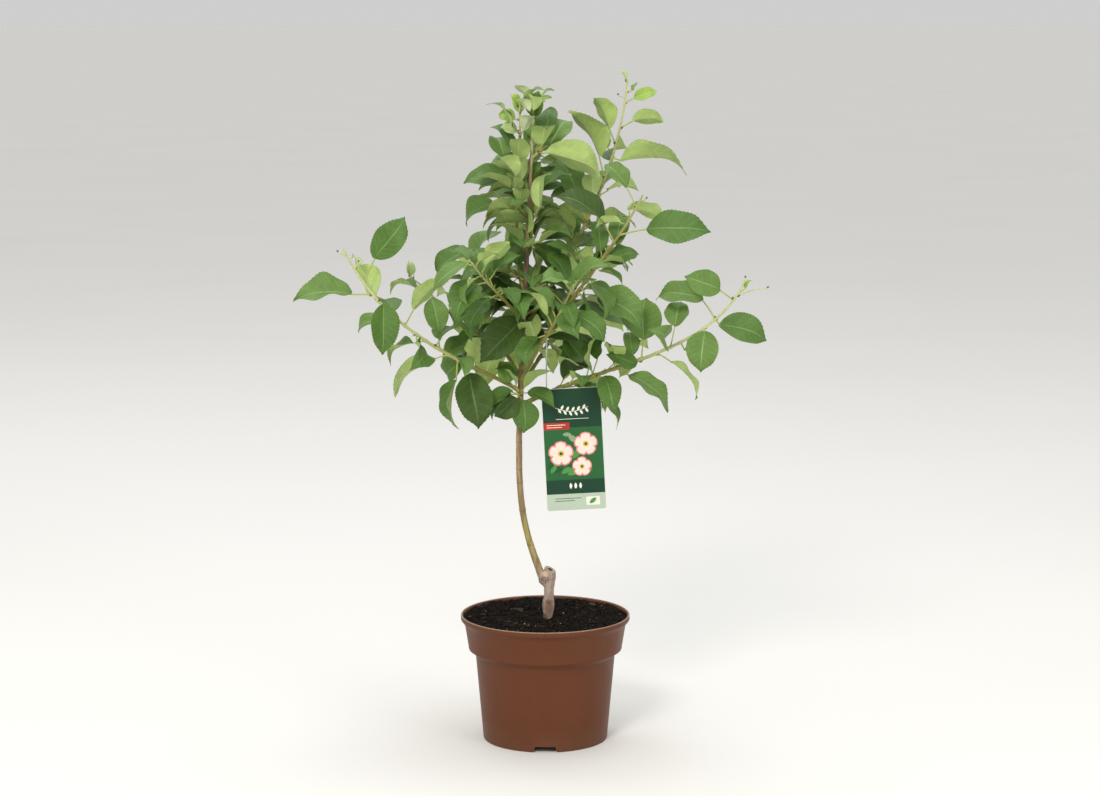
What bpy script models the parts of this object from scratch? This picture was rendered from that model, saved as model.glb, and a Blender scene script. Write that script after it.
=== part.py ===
"""A young dwarf fruit tree in a plain plastic nursery pot, as separate closed solids.

Metres, with +Z up. The origin is the centre of the pot's flat underside. The front of the plant looks
along -Y, and +X is to its right. Headings are degrees round +Z, with 0 along +X and 270 to the front.
"""
import math
import random
from collections import namedtuple

import bmesh
import bpy
from mathutils import Matrix, Vector
from mathutils.bvhtree import BVHTree

GAP = 0.0003
MM = 0.001

# The pot: a moulded nursery pot with a deep band under a thin lip, and a body stepped in below it
POT_HEIGHT = 0.157
POT_WALL = 0.0018
LIP_RADIUS = 0.105
BAND_TOP_RADIUS = 0.1003
BAND_FOOT_RADIUS = 0.0954
STEP_RADIUS = 0.0918
BODY_TOP_RADIUS = 0.0868
FOOT_RADIUS = 0.0775
LIP_FOOT = 0.1450
BAND_FOOT = 0.1147
STEP_HEIGHT = 0.1116
BODY_TOP = 0.1070
CHANNEL_HEIGHT = 0.008
FLOOR_DISC_RADIUS = 0.056
POT_SIDES = 48

NOTCHES = 3
NOTCH_TOP_WIDTH = 0.025
NOTCH_FOOT_WIDTH = 0.031
NOTCH_HEIGHT = 0.0072
NOTCH_DEPTH = 0.024

SOIL_TOP = 0.1520

# The trunk: a pruned rootstock, and the scion that leaves its side and runs up to the tip
ROOTSTOCK_X = 0.0032
ROOTSTOCK_LEAN = 0.045
ROOTSTOCK_SIDES = 12
CUT_SLOPE = 24.0
CUT_FORWARD = 0.3
CUT_DROP = 0.0035
UNION_X = -0.003
UNION_HEIGHT = 0.197
LEAN = 0.039
LEAN_RISE = 0.070
LEAN_POWER = 1.3
DRIFT = 0.048
TRUNK_TOP = 0.762
TRUNK_SIDES = 8
SCION_FOOT = 0.1945
SCION_INSET = 0.005
SCION_STATIONS = 18
SCION_CROWDING = 1.7
# Radii in mm at their heights
SCION_RADII = ((0.1945, 5.2), (0.215, 4.6), (0.260, 3.9), (0.440, 3.7), (0.600, 2.8), (0.762, 1.7))
ROOTSTOCK_RADII = (
    (0.150, 5.6), (0.155, 5.6), (0.164, 7.2), (0.1725, 7.5), (0.177, 6.2), (0.190, 6.1), (0.204, 7.7),
    (0.2165, 6.6),
)

# A leaf: a bare stalk, then a blade that is widest a third of the way along
STALK_RADIUS = 0.8 * MM
BLADE_STATIONS = ((0.36, 1.0), (0.74, 0.72))
BLADE_WIDTH = 0.56
BLADE_ARCH = 0.07
BLADE_THICKNESS = 1.2 * MM
CLEARANCE = 0.6 * MM
SLIVER = 0.02 * MM
GOLDEN_TURN = 137.5

# The hanging label: a plain card with a hole near its top left corner, and a thin loop through it
LABEL_WIDTH = 0.073
LABEL_HEIGHT = 0.152
LABEL_THICKNESS = 0.8 * MM
LABEL_CORNER = 3.0 * MM
LABEL_CENTRE = Vector((0.0352, -0.0135, 0.3665))
LABEL_TILT = -3.0
HOLE_RADIUS = 2.5 * MM
HOLE_FROM_LEFT = 0.0065
HOLE_FROM_TOP = 0.0065
LABEL_BOUGH = "mid_right"
LOOP_BEYOND = 0.008
LOOP_WIDTH = 0.020
LOOP_RADIUS = 0.5 * MM
LOOP_STEPS = 16

# A shoot leaves the trunk at a height, on a heading, and reaches and rises by so much. It sets off at
# one slope and ends at another; hold says how far it keeps the first. The bough is its bare share.
Shoot = namedtuple("Shoot", "height heading reach rise launch finish hold bare base tip")
SHOOTS = {
    "low_left": Shoot(0.436, 196, 0.220, 0.182, 35, 65, 0.20, 0.19, 2.7, 1.2),
    "mid_left": Shoot(0.487, 168, 0.142, 0.087, 5, 25, 0.45, 0.24, 2.1, 1.0),
    "low_right": Shoot(0.418, -6, 0.274, 0.156, 30, 65, 0.33, 0.13, 3.0, 1.2),
    "mid_right": Shoot(0.464, -15, 0.152, 0.217, 55, 65, 0.45, 0.18, 2.8, 1.2),
    "upper_right": Shoot(0.514, 32, 0.152, 0.302, 50, 85, 0.33, 0.22, 2.8, 1.1),
    "front_left": Shoot(0.520, 243, 0.130, 0.085, 40, 40, 0.33, 0.22, 2.2, 1.1),
    "front_right": Shoot(0.450, -62, 0.135, 0.130, 45, 50, 0.33, 0.22, 2.2, 1.1),
    "back_left": Shoot(0.452, 114, 0.185, 0.125, 30, 55, 0.33, 0.20, 2.7, 1.1),
    "back_right": Shoot(0.440, 66, 0.195, 0.140, 30, 55, 0.33, 0.20, 2.7, 1.1),
    "back_high": Shoot(0.590, 84, 0.115, 0.130, 45, 75, 0.33, 0.22, 2.4, 1.1),
    "second_leader": Shoot(0.560, 135, 0.009, 0.226, 50, 88, 0.20, 0.40, 2.5, 1.1),
}

# A spur leaves the trunk at a height, on a heading, with a short stem of its own
Spur = namedtuple("Spur", "height heading length lift")
SPURS = {
    "low_spur": Spur(0.430, 270, 0.014, 20),
    "right_spur": Spur(0.484, -10, 0.018, 30),
    "front_spur": Spur(0.525, 275, 0.014, 30),
    "middle_left_spur": Spur(0.572, 165, 0.014, 30),
    "middle_right_spur": Spur(0.553, -15, 0.016, 30),
    "inner_spur": Spur(0.612, 285, 0.013, 30),
    "upper_left_spur": Spur(0.650, 200, 0.013, 30),
    "upper_front_spur": Spur(0.630, 290, 0.014, 40),
    "high_left_spur": Spur(0.680, 160, 0.012, 40),
    "high_right_spur": Spur(0.722, 10, 0.013, 40),
    "back_low_spur": Spur(0.500, 80, 0.016, 30),
    "back_middle_spur": Spur(0.542, 60, 0.016, 35),
    "back_high_spur": Spur(0.668, 115, 0.014, 40),
}
SPUR_RADIUS = 1.7 * MM
TOP_STEM = 0.026

# The leaves that show from the front. Each row gives: where its stalk leaves the stem, as a share; the
# stalk's length in mm and its lift in degrees, as seen from the front; the blade's length and its aim;
# how far the blade leans away to the back; its turn, with 0 for the top side to the front, 90 for edge
# on and 180 for the underside; and its width to its length, where that isn't the usual one.
SHOWN = {
    "low_left": (
        (0.77, 25, 178, 74, 182, -10, 55), (0.83, 33, 67, 67, 53, -10, 15),
        (0.74, 8, 100, 52, 128, 38, 150, 0.7), (0.73, 6, 330, 64, 271, -15, 20),
        (0.68, 12, 250, 46, 198, 20, 60), (0.58, 22, 65, 57, 44, 10, 130),
        (0.4, 21, 93, 48, 101, 10, 15, 0.62), (0.47, 16, 188, 47, 211, 20, 85),
        (0.35, 18, 190, 76, 213, -15, 115), (0.27, 13, 292, 75, 282, -20, 5, 0.6),
        (0.31, 25, 265, 66, 266, 5, 70), (0.23, 16, 150, 46, 225, 30, 20),
        (0.88, 10, 100, 26, 110, 60, 60), (0.62, 14, 120, 58, 150, 68, 70),
        (0.52, 14, 280, 60, 285, -70, 75), (0.42, 16, 60, 60, 30, 68, 75),
    ),
    "mid_left": (
        (0.97, 6, 125, 20, 93, 0, 20), (0.9, 7, 205, 44, 178, 30, 95), (0.81, 29, 76, 56, 29, 10, 45),
        (0.45, 17, 110, 42, 115, 35, 15), (0.36, 22, 80, 26, 45, -20, 60),
        (0.33, 8, 250, 55, 204, -10, 45), (0.6, 12, 100, 56, 130, 68, 70),
        (0.7, 12, 300, 52, 330, -65, 75),
    ),
    "low_right": (
        (0.82, 8, 300, 68, 346, -10, 35), (0.77, 4, 275, 55, 263, -20, 5, 0.72),
        (0.56, 21, 333, 58, 311, -10, 100), (0.4, 17, 332, 70, 323, -10, 60),
        (0.17, 25, 5, 59, 317, -25, 40), (0.24, 30, 328, 54, 306, 5, 70),
        (0.49, 6, 240, 43, 156, -20, 30), (0.3, 21, 72, 39, 83, 10, 50),
        (0.5, 24, 83, 56, 88, 15, 5, 0.9), (0.62, 26, 78, 38, 80, 25, 20, 0.8),
        (0.82, 29, 120, 64, 176, 14, 45), (0.92, 21, 141, 50, 158, -15, 20, 0.66),
        (0.94, 14, 40, 14, 60, 0, 60), (0.66, 14, 300, 60, 320, 68, 75), (0.44, 14, 60, 58, 40, 66, 75),
        (0.6, 14, 120, 56, 100, -68, 70),
    ),
    "mid_right": (
        (0.87, 14, 100, 54, 345, 20, 125), (0.84, 8, 150, 36, 190, -10, 120),
        (0.78, 34, 14, 81, 1, -10, 35), (0.74, 25, 115, 75, 144, -10, 60),
        (0.93, 27, 114, 44, 130, 10, 35), (0.65, 8, 107, 45, 94, 30, 15, 0.45),
        (0.71, 9, 20, 50, 80, 30, 15, 0.5), (0.64, 7, 340, 47, 16, 20, 35),
        (0.6, 6, 310, 36, 336, -15, 80), (0.51, 20, 107, 54, 137, -15, 80),
        (0.43, 29, 5, 74, 330, -20, 30), (0.36, 28, 124, 70, 213, -30, 80),
        (0.24, 10, 20, 43, 329, 0, 60), (0.55, 14, 60, 60, 60, 68, 75), (0.46, 14, 300, 56, 300, -70, 75),
    ),
    "upper_right": (
        (0.99, 4, 110, 16, 126, 0, 60), (0.95, 8, 24, 14, 56, 20, 60), (0.91, 13, 32, 32, 20, -10, 40),
        (0.82, 18, 33, 44, 3, -10, 140), (0.76, 21, 111, 48, 114, -10, 150),
        (0.73, 10, 144, 28, 109, 30, 60), (0.63, 28, 101, 75, 122, -15, 130),
        (0.71, 11, 340, 90, 358, -10, 115), (0.46, 26, 110, 66, 118, 10, 30),
        (0.38, 10, 91, 29, 110, 0, 30), (0.52, 16, 127, 58, 178, 35, 40), (0.67, 12, 60, 58, 60, 66, 75),
        (0.57, 12, 60, 62, 20, 64, 75), (0.34, 14, 60, 62, 20, 66, 75),
    ),
    "front_left": (
        (0.95, 12, 150, 52, 216, -10, 60), (0.7, 14, 60, 44, 40, -25, 60),
        (0.5, 12, 200, 50, 235, -20, 40),
    ),
    "front_right": (
        (0.95, 12, 60, 50, 40, -25, 60), (0.75, 14, 350, 56, 325, -15, 50),
        (0.5, 12, 190, 44, 230, -25, 50),
    ),
    "second_leader": (
        (0.62, 16, 160, 56, 190, -5, 40), (0.69, 20, 160, 40, 110, 35, 20, 0.85),
        (0.86, 4, 150, 22, 165, -10, 30, 0.75), (0.92, 6, 170, 24, 160, 10, 30, 0.7),
        (0.99, 3, 110, 18, 122, 0, 30, 0.6), (0.97, 4, 60, 16, 50, 0, 60, 0.5),
        (0.66, 8, 120, 22, 140, -20, 30, 0.8), (0.5, 8, 110, 50, 92, -15, 60, 0.35),
        (0.55, 10, 150, 56, 162, -25, 100),
    ),
    "low_spur": (
        (0.85, 6, 225, 39, 220, -15, 10, 0.75), (1.0, 8, 290, 43, 274, -10, 10, 0.8),
        (0.7, 20, 130, 31, 111, 5, 20, 0.8),
    ),
    "right_spur": (
        (0.75, 26, 40, 92, 352, -15, 55), (0.9, 16, 5, 55, 285, -20, 10, 0.7),
        (1.0, 38, 15, 44, 308, 0, 15, 0.65),
    ),
    "front_spur": (
        (0.85, 6, 240, 80, 222, -25, 20), (1.0, 22, 30, 32, 301, -10, 30),
    ),
    "middle_left_spur": (
        (0.75, 16, 152, 68, 184, 5, 50), (1.0, 10, 165, 84, 219, -20, 30),
    ),
    "middle_right_spur": (
        (0.75, 20, 40, 46, 338, 10, 60), (1.0, 14, 20, 36, 290, -10, 30, 0.7),
    ),
    "inner_spur": (
        (0.8, 8, 200, 34, 225, -20, 40), (1.0, 8, 330, 34, 310, -10, 50), (0.9, 16, 20, 50, 355, 10, 70),
    ),
    "upper_left_spur": (
        (0.8, 8, 125, 46, 186, -15, 135), (1.0, 32, 160, 54, 207, 15, 45),
    ),
    "upper_front_spur": (
        (0.8, 8, 110, 66, 187, -25, 105), (1.0, 26, 66, 52, 84, -10, 145, 0.36),
    ),
    "high_left_spur": (
        (0.8, 14, 150, 50, 188, 20, 128), (1.0, 6, 100, 72, 94, -8, 150, 0.36),
    ),
    "high_right_spur": (
        (0.75, 10, 10, 84, 343, -15, 140), (0.9, 16, 30, 56, 56, 35, 20),
        (1.0, 18, 60, 56, 84, 40, 20, 0.5),
    ),
    "top": (
        (0.3, 3, 60, 34, 84, -10, 20, 0.68), (0.8, 3, 110, 18, 118, 0, 40, 0.5),
        (1.0, 2, 60, 15, 66, 0, 60, 0.5), (0.6, 4, 40, 22, 50, 40, 60, 0.6),
    ),
}

# The other leaves stand in a spiral round their stem: how many, from which share, how long, which draw
Spiral = namedtuple("Spiral", "count first blade seed")
SPIRALS = {
    "back_left": Spiral(14, 0.24, 0.070, 13),
    "back_right": Spiral(14, 0.24, 0.070, 14),
    "back_high": Spiral(12, 0.26, 0.064, 15),
    "front_left": Spiral(5, 0.40, 0.050, 11),
    "front_right": Spiral(5, 0.40, 0.050, 12),
    "second_leader": Spiral(5, 0.46, 0.046, 16),
    "top": Spiral(3, 0.20, 0.030, 26),
    "low_spur": Spiral(2, 0.60, 0.046, 27),
    "right_spur": Spiral(3, 0.60, 0.056, 28),
    "front_spur": Spiral(3, 0.60, 0.050, 29),
    "middle_left_spur": Spiral(3, 0.60, 0.056, 25),
    "middle_right_spur": Spiral(3, 0.60, 0.052, 30),
    "inner_spur": Spiral(3, 0.60, 0.050, 31),
    "upper_left_spur": Spiral(3, 0.60, 0.050, 32),
    "high_right_spur": Spiral(3, 0.60, 0.046, 33),
    "high_left_spur": Spiral(2, 0.60, 0.044, 34),
    "back_low_spur": Spiral(5, 0.60, 0.066, 22),
    "back_middle_spur": Spiral(5, 0.60, 0.064, 23),
    "back_high_spur": Spiral(4, 0.60, 0.058, 24),
}
# The masses round the leader, whose spiral leaves rise, and by how much
RISING = ("second_leader", "high_left_spur", "high_right_spur", "upper_left_spur", "upper_front_spur",
          "inner_spur", "back_high_spur")
RISE = 0.75
# How far to the side a leaf of the spirals may reach, so that the crown stays open at its flanks
SPIRAL_SIDE = 0.118

# Plain colours and finishes, as linear red, green and blue, and roughness
FINISHES = {
    "pot": ((0.165, 0.060, 0.030), 0.55),
    "soil": ((0.012, 0.009, 0.006), 1.0),
    "bark": ((0.150, 0.095, 0.055), 0.8),
    "shoot": ((0.230, 0.210, 0.070), 0.6),
    "leaf": ((0.045, 0.110, 0.030), 0.5),
    "card": ((0.012, 0.060, 0.040), 0.35),
    "tie": ((0.550, 0.600, 0.520), 0.5),
}


def clear_scene():
    for old in list(bpy.data.objects):
        bpy.data.objects.remove(old, do_unlink=True)


def finish(name):
    """The plain material of one kind of piece."""
    if name in bpy.data.materials:
        return bpy.data.materials[name]
    colour, roughness = FINISHES[name]
    material = bpy.data.materials.new(name)
    material.use_nodes = True
    shader = material.node_tree.nodes["Principled BSDF"]
    shader.inputs["Base Color"].default_value = (*colour, 1.0)
    shader.inputs["Roughness"].default_value = roughness
    shader.inputs["Metallic"].default_value = 0.0
    return material


def add_object(name, mesh, finish_name, collection=None):
    piece = bpy.data.objects.new(name, mesh)
    (collection or bpy.context.scene.collection).objects.link(piece)
    mesh.materials.clear()
    mesh.materials.append(finish(finish_name))
    return piece


def mesh_from(bm, name):
    mesh = bpy.data.meshes.new(name)
    bm.to_mesh(mesh)
    bm.free()
    return mesh


def evaluated_mesh(piece):
    """The mesh of an object with its modifiers applied."""
    view = bpy.context.evaluated_depsgraph_get()
    return bpy.data.meshes.new_from_object(piece.evaluated_get(view))


def on_heading(degrees):
    turn = math.radians(degrees)
    return Vector((math.cos(turn), math.sin(turn), 0.0))


def between(pairs, height):
    """A value read from pairs of height and value, in straight runs."""
    if height <= pairs[0][0]:
        return pairs[0][1]
    for (low, first), (high, last) in zip(pairs, pairs[1:]):
        if height <= high:
            return first + (last - first) * (height - low) / (high - low)
    return pairs[-1][1]


# Tubes and blades: a spindle of rings, extruded once, whose corners are then put in place

SPINDLES = {}


def spindle(stations, sides, pointed):
    """Corners as (station, x, y) and faces of a straight spindle, kept once it is made."""
    key = (stations, sides, pointed)
    if key in SPINDLES:
        return SPINDLES[key]
    bm = bmesh.new()
    bmesh.ops.create_circle(bm, cap_ends=True, segments=sides, radius=1.0)
    bm.faces.ensure_lookup_table()
    end = bm.faces[0]
    for station in range(1, stations):
        grown = bmesh.ops.extrude_face_region(bm, geom=[end])
        if station > 1:
            bm.faces.remove(end)
        end = next(item for item in grown["geom"] if isinstance(item, bmesh.types.BMFace))
        bmesh.ops.translate(bm, verts=end.verts, vec=(0.0, 0.0, 1.0))
    if pointed:
        bmesh.ops.pointmerge(bm, verts=end.verts, merge_co=(0.0, 0.0, stations - 1.0))
    bmesh.ops.recalc_face_normals(bm, faces=bm.faces)
    bmesh.ops.triangulate(bm, faces=[face for face in bm.faces if len(face.verts) == 4])
    bm.verts.index_update()
    corners = [(round(vert.co.z), vert.co.x, vert.co.y) for vert in bm.verts]
    faces = [tuple(vert.index for vert in face.verts) for face in bm.faces]
    bm.free()
    SPINDLES[key] = (corners, faces)
    return SPINDLES[key]


def ring_frames(points):
    """For each point of a course, the two directions across it, turning as little as they can."""
    frames = []
    across = None
    for index, point in enumerate(points):
        before = points[max(index - 1, 0)]
        after = points[min(index + 1, len(points) - 1)]
        along = (after - before).normalized()
        if across is None:
            across = along.cross(Vector((0.0, 1.0, 0.0)))
            if across.length < 0.1:
                across = along.cross(Vector((1.0, 0.0, 0.0)))
        across = (across - along * across.dot(along)).normalized()
        frames.append((across, along.cross(across)))
    return frames


def tube_shape(points, radii, sides):
    """Corners and faces of a closed tube along a course."""
    corners, faces = spindle(len(points), sides, False)
    frames = ring_frames(points)
    placed = []
    for station, x, y in corners:
        across, beside = frames[station]
        placed.append(points[station] + (across * x + beside * y) * radii[station])
    return placed, faces


def mesh_of(name, shape):
    corners, faces = shape
    mesh = bpy.data.meshes.new(name)
    mesh.from_pydata([tuple(corner) for corner in corners], [], faces)
    mesh.update()
    return mesh


def smooth(mesh, degrees=35.0):
    mesh.shade_smooth()
    mesh.set_sharp_from_angle(angle=math.radians(degrees))


# The pot and what fills it

def pot_inner():
    """The pot's inner profile as (radius, height), from the lip down to the middle of the floor."""
    return [
        (BAND_TOP_RADIUS - POT_WALL, LIP_FOOT), (BAND_FOOT_RADIUS - POT_WALL, BAND_FOOT + 0.0006),
        (STEP_RADIUS - POT_WALL, STEP_HEIGHT + POT_WALL), (BODY_TOP_RADIUS - POT_WALL, BODY_TOP + 0.0008),
        (FOOT_RADIUS - POT_WALL + 0.0001, CHANNEL_HEIGHT + POT_WALL),
        (FLOOR_DISC_RADIUS + 0.0015, CHANNEL_HEIGHT + POT_WALL), (FLOOR_DISC_RADIUS - 0.0015, POT_WALL),
    ]


def pot_outer():
    """The pot's outer profile, from the middle of the underside out, up the wall and over the lip."""
    return [
        (FLOOR_DISC_RADIUS, 0.0), (FLOOR_DISC_RADIUS + 0.003, CHANNEL_HEIGHT),
        (FOOT_RADIUS - 0.004, CHANNEL_HEIGHT), (FOOT_RADIUS - 0.0025, 0.0),
        (FOOT_RADIUS - 0.0008, 0.0), (FOOT_RADIUS, 0.0015),
        (BODY_TOP_RADIUS, BODY_TOP), (STEP_RADIUS, STEP_HEIGHT), (BAND_FOOT_RADIUS, BAND_FOOT),
        (BAND_TOP_RADIUS, LIP_FOOT), (LIP_RADIUS, 0.1508), (LIP_RADIUS, POT_HEIGHT - 0.0010),
        (LIP_RADIUS - 0.0010, POT_HEIGHT), (LIP_RADIUS - 0.0024, POT_HEIGHT - 0.0008),
    ]


def turned(profile, name):
    """A closed solid turned from a profile that starts and ends on the axis."""
    bm = bmesh.new()
    verts = [bm.verts.new((radius, 0.0, height)) for radius, height in profile]
    edges = [bm.edges.new(pair) for pair in zip(verts, verts[1:])]
    bmesh.ops.spin(bm, geom=verts + edges, cent=(0, 0, 0), axis=(0, 0, 1), angle=math.tau,
                   steps=POT_SIDES, use_merge=True)
    bmesh.ops.remove_doubles(bm, verts=bm.verts, dist=1e-6)
    bmesh.ops.recalc_face_normals(bm, faces=bm.faces)
    return mesh_from(bm, name)


def notch_cutter():
    """Wedges that cut the drainage notches through the pot's foot."""
    bm = bmesh.new()
    for index in range(NOTCHES):
        made = bmesh.ops.create_cube(bm, size=1.0)["verts"]
        for vert in made:
            width = NOTCH_TOP_WIDTH if vert.co.z > 0 else NOTCH_FOOT_WIDTH
            height = NOTCH_HEIGHT if vert.co.z > 0 else -0.002
            vert.co = Vector((FOOT_RADIUS + vert.co.x * NOTCH_DEPTH, vert.co.y * width, height))
        turn = Matrix.Rotation(math.radians(270.0 + index * 360.0 / NOTCHES), 4, "Z")
        bmesh.ops.transform(bm, matrix=turn, verts=made)
    return mesh_from(bm, "notch_cutter")


def make_pot():
    profile = [(0.0, 0.0)] + pot_outer() + pot_inner() + [(0.0, POT_WALL)]
    pot = add_object("pot", turned(profile, "pot"), "pot")
    cutter = add_object("notch_cutter", notch_cutter(), "pot")
    cutter.hide_render = True
    cutter.display_type = "WIRE"
    cut = pot.modifiers.new("drainage notches", "BOOLEAN")
    cut.operation = "DIFFERENCE"
    cut.object = cutter
    smooth(pot.data)


def make_soil():
    inside = [(radius - GAP, height + GAP) for radius, height in pot_inner()]
    wall = ((LIP_FOOT, BAND_TOP_RADIUS - POT_WALL), (POT_HEIGHT, LIP_RADIUS - POT_WALL))
    wall_radius = between(wall, SOIL_TOP)
    profile = [(0.0, SOIL_TOP), (0.030, SOIL_TOP), (wall_radius - 0.006, SOIL_TOP - 0.0010),
               (wall_radius - 0.0012, SOIL_TOP - 0.0022)] + inside + [(0.0, POT_WALL + GAP)]
    soil = add_object("soil", turned(profile, "soil"), "soil")
    smooth(soil.data)


# The trunk and the courses that leave it

def trunk_centre(height):
    """The middle of the scion at a height: it bows to the left, stands up and drifts back."""
    rise = max(height - UNION_HEIGHT, 0.0)
    bow = LEAN * (1.0 - math.exp(-(rise / LEAN_RISE) ** LEAN_POWER))
    return Vector((UNION_X - bow + DRIFT * rise, 0.0, height))


def scion_course(extra=0.0):
    """The scion's centre line and radii, with its rings closer together near the union."""
    shares = [(station / SCION_STATIONS) ** SCION_CROWDING for station in range(SCION_STATIONS + 1)]
    heights = [SCION_FOOT + (TRUNK_TOP - SCION_FOOT) * share for share in shares]
    points = [trunk_centre(height) for height in heights]
    points[0].x += SCION_INSET
    return points, [between(SCION_RADII, height) * MM + extra for height in heights]


def make_trunk():
    """The rootstock with its slanting cut, and the scion fused to its side."""
    heights = [pair[0] for pair in ROOTSTOCK_RADII]
    heights[0] = SOIL_TOP + GAP
    points = [Vector((ROOTSTOCK_X + ROOTSTOCK_LEAN * (height - SOIL_TOP), 0.0, height)) for height in heights]
    radii = [between(ROOTSTOCK_RADII, height) * MM for height in heights]
    stock = mesh_of("trunk", tube_shape(points, radii, ROOTSTOCK_SIDES))
    bm = bmesh.new()
    bm.from_mesh(stock)
    across = Matrix.Rotation(math.radians(CUT_SLOPE), 3, "Y") @ Vector((0.0, -CUT_FORWARD, 1.0))
    sliced = bmesh.ops.bisect_plane(bm, geom=bm.verts[:] + bm.edges[:] + bm.faces[:], dist=1e-6,
                                    plane_co=points[-1] - Vector((0.0, 0.0, CUT_DROP)), plane_no=across,
                                    clear_outer=True)
    rim = [item for item in sliced["geom_cut"] if isinstance(item, bmesh.types.BMEdge)]
    bmesh.ops.holes_fill(bm, edges=rim, sides=0)
    bmesh.ops.recalc_face_normals(bm, faces=bm.faces)
    bm.to_mesh(stock)
    bm.free()
    trunk = add_object("trunk", stock, "bark")
    scion = add_object("scion", mesh_of("scion", tube_shape(*scion_course(), TRUNK_SIDES)), "bark")
    join = trunk.modifiers.new("graft", "BOOLEAN")
    join.operation = "UNION"
    join.object = scion
    trunk.data = evaluated_mesh(trunk)
    trunk.modifiers.clear()
    bpy.data.objects.remove(scion, do_unlink=True)
    smooth(trunk.data)


def shoot_course(shoot, steps=40):
    """Points along a shoot, as a cubic curve in the upright plane of its heading."""
    start = trunk_centre(shoot.height)
    out = on_heading(shoot.heading)
    span = math.hypot(shoot.reach, shoot.rise)
    first = span * shoot.hold
    last = span * (0.66 - shoot.hold)
    launch = math.radians(shoot.launch)
    finish_slope = math.radians(shoot.finish)
    hooks = (
        (0.0, 0.0), (first * math.cos(launch), first * math.sin(launch)),
        (shoot.reach - last * math.cos(finish_slope), shoot.rise - last * math.sin(finish_slope)),
        (shoot.reach, shoot.rise),
    )
    points = []
    for step in range(steps + 1):
        t = step / steps
        shares = ((1 - t) ** 3, 3 * t * (1 - t) ** 2, 3 * t * t * (1 - t), t ** 3)
        away = sum(share * hook[0] for share, hook in zip(shares, hooks))
        up = sum(share * hook[1] for share, hook in zip(shares, hooks))
        points.append(start + out * away + Vector((0.0, 0.0, up)))
    return points


def along_course(points, share):
    """The point and the direction at a share of a course's length."""
    lengths = [(b - a).length for a, b in zip(points, points[1:])]
    left = max(0.0, min(share, 1.0)) * sum(lengths)
    for a, b, length in zip(points, points[1:], lengths):
        if left <= length:
            return a.lerp(b, left / length), (b - a).normalized()
        left -= length
    return points[-1].copy(), (points[-1] - points[-2]).normalized()


def stretch(course, first, last, count):
    """A number of evenly spaced points of a course between two shares."""
    return [along_course(course, first + (last - first) * step / (count - 1))[0] for step in range(count)]


def cut_clear(piece, cutter):
    """Cut a piece back to the outside of the trunk, a gap away."""
    cut = piece.modifiers.new("trunk clearance", "BOOLEAN")
    cut.operation = "DIFFERENCE"
    cut.object = cutter
    piece.data = evaluated_mesh(piece)
    piece.modifiers.clear()


# Leaves

Blade = namedtuple("Blade", "root stalk along face length width")


def leaf_corners(blade, margin=0.0):
    """Where the thirteen corners of a leaf are; a margin makes it fatter all round."""
    corners, faces = spindle(5, 3, True)
    base = blade.root + blade.stalk
    stalk_along = blade.stalk.normalized()
    side = blade.along.cross(blade.face).normalized()
    stalk_side = (side - stalk_along * side.dot(stalk_along)).normalized()
    stalk_down = stalk_side.cross(stalk_along) * -1.0
    if stalk_down.dot(blade.face) > 0.0:
        stalk_down.negate()
    thick = max(BLADE_THICKNESS, blade.length / 80.0)
    placed = []
    for station, x, y in corners:
        edge = 0.0 if abs(x) < 0.1 else math.copysign(1.0, x)
        keel = 1.0 if y > 0.5 else 0.0
        if station == 0:
            reach = STALK_RADIUS + margin
            sunk = stalk_down * (reach * (keel * 1.5 - 0.5))
            placed.append(blade.root + stalk_side * (edge * reach) + sunk)
        elif station == 1:
            reach = STALK_RADIUS * 1.2 + margin
            placed.append(base + side * (edge * reach) - blade.face * (reach * (keel * 1.5 - 0.5)))
        elif station == 4:
            placed.append(base + blade.along * (blade.length + margin))
        else:
            share, wide = BLADE_STATIONS[station - 2]
            middle = base + blade.along * (share * blade.length)
            middle += blade.face * (BLADE_ARCH * blade.length * 4.0 * share * (1.0 - share))
            half = 0.5 * blade.width * wide + margin
            depth = (thick + margin) * keel - margin * (1.0 - keel)
            placed.append(middle + side * (edge * half) - blade.face * depth)
    return placed, faces


def seen_direction(turn, lean):
    """A direction that the front view shows at a turn from +X, and that leans away to the back."""
    return Vector((math.cos(turn) * math.cos(lean), math.sin(lean), math.sin(turn) * math.cos(lean)))


def shown_blades(course, rows):
    """The leaves given row by row, as seen from the front."""
    blades = []
    toward = Vector((0.0, -1.0, 0.0))
    for row in rows:
        at, stalk, lift, length, aim, away, turn = row[:7]
        wide = row[7] if len(row) > 7 else BLADE_WIDTH
        root, _ = along_course(course, at)
        lean = math.radians(away)
        lift_turn, aim_turn, roll = math.radians(lift), math.radians(aim), math.radians(turn)
        stem = seen_direction(lift_turn, lean / 2)
        along = seen_direction(aim_turn, lean)
        front = (toward - along * toward.dot(along)).normalized()
        over = along.cross(front)
        if over.z < 0.0:
            over.negate()
        face = (front * math.cos(roll) + over * math.sin(roll)).normalized()
        blades.append(Blade(root, stem * stalk * MM, along, face, length * MM, length * MM * wide))
    return blades


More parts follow.
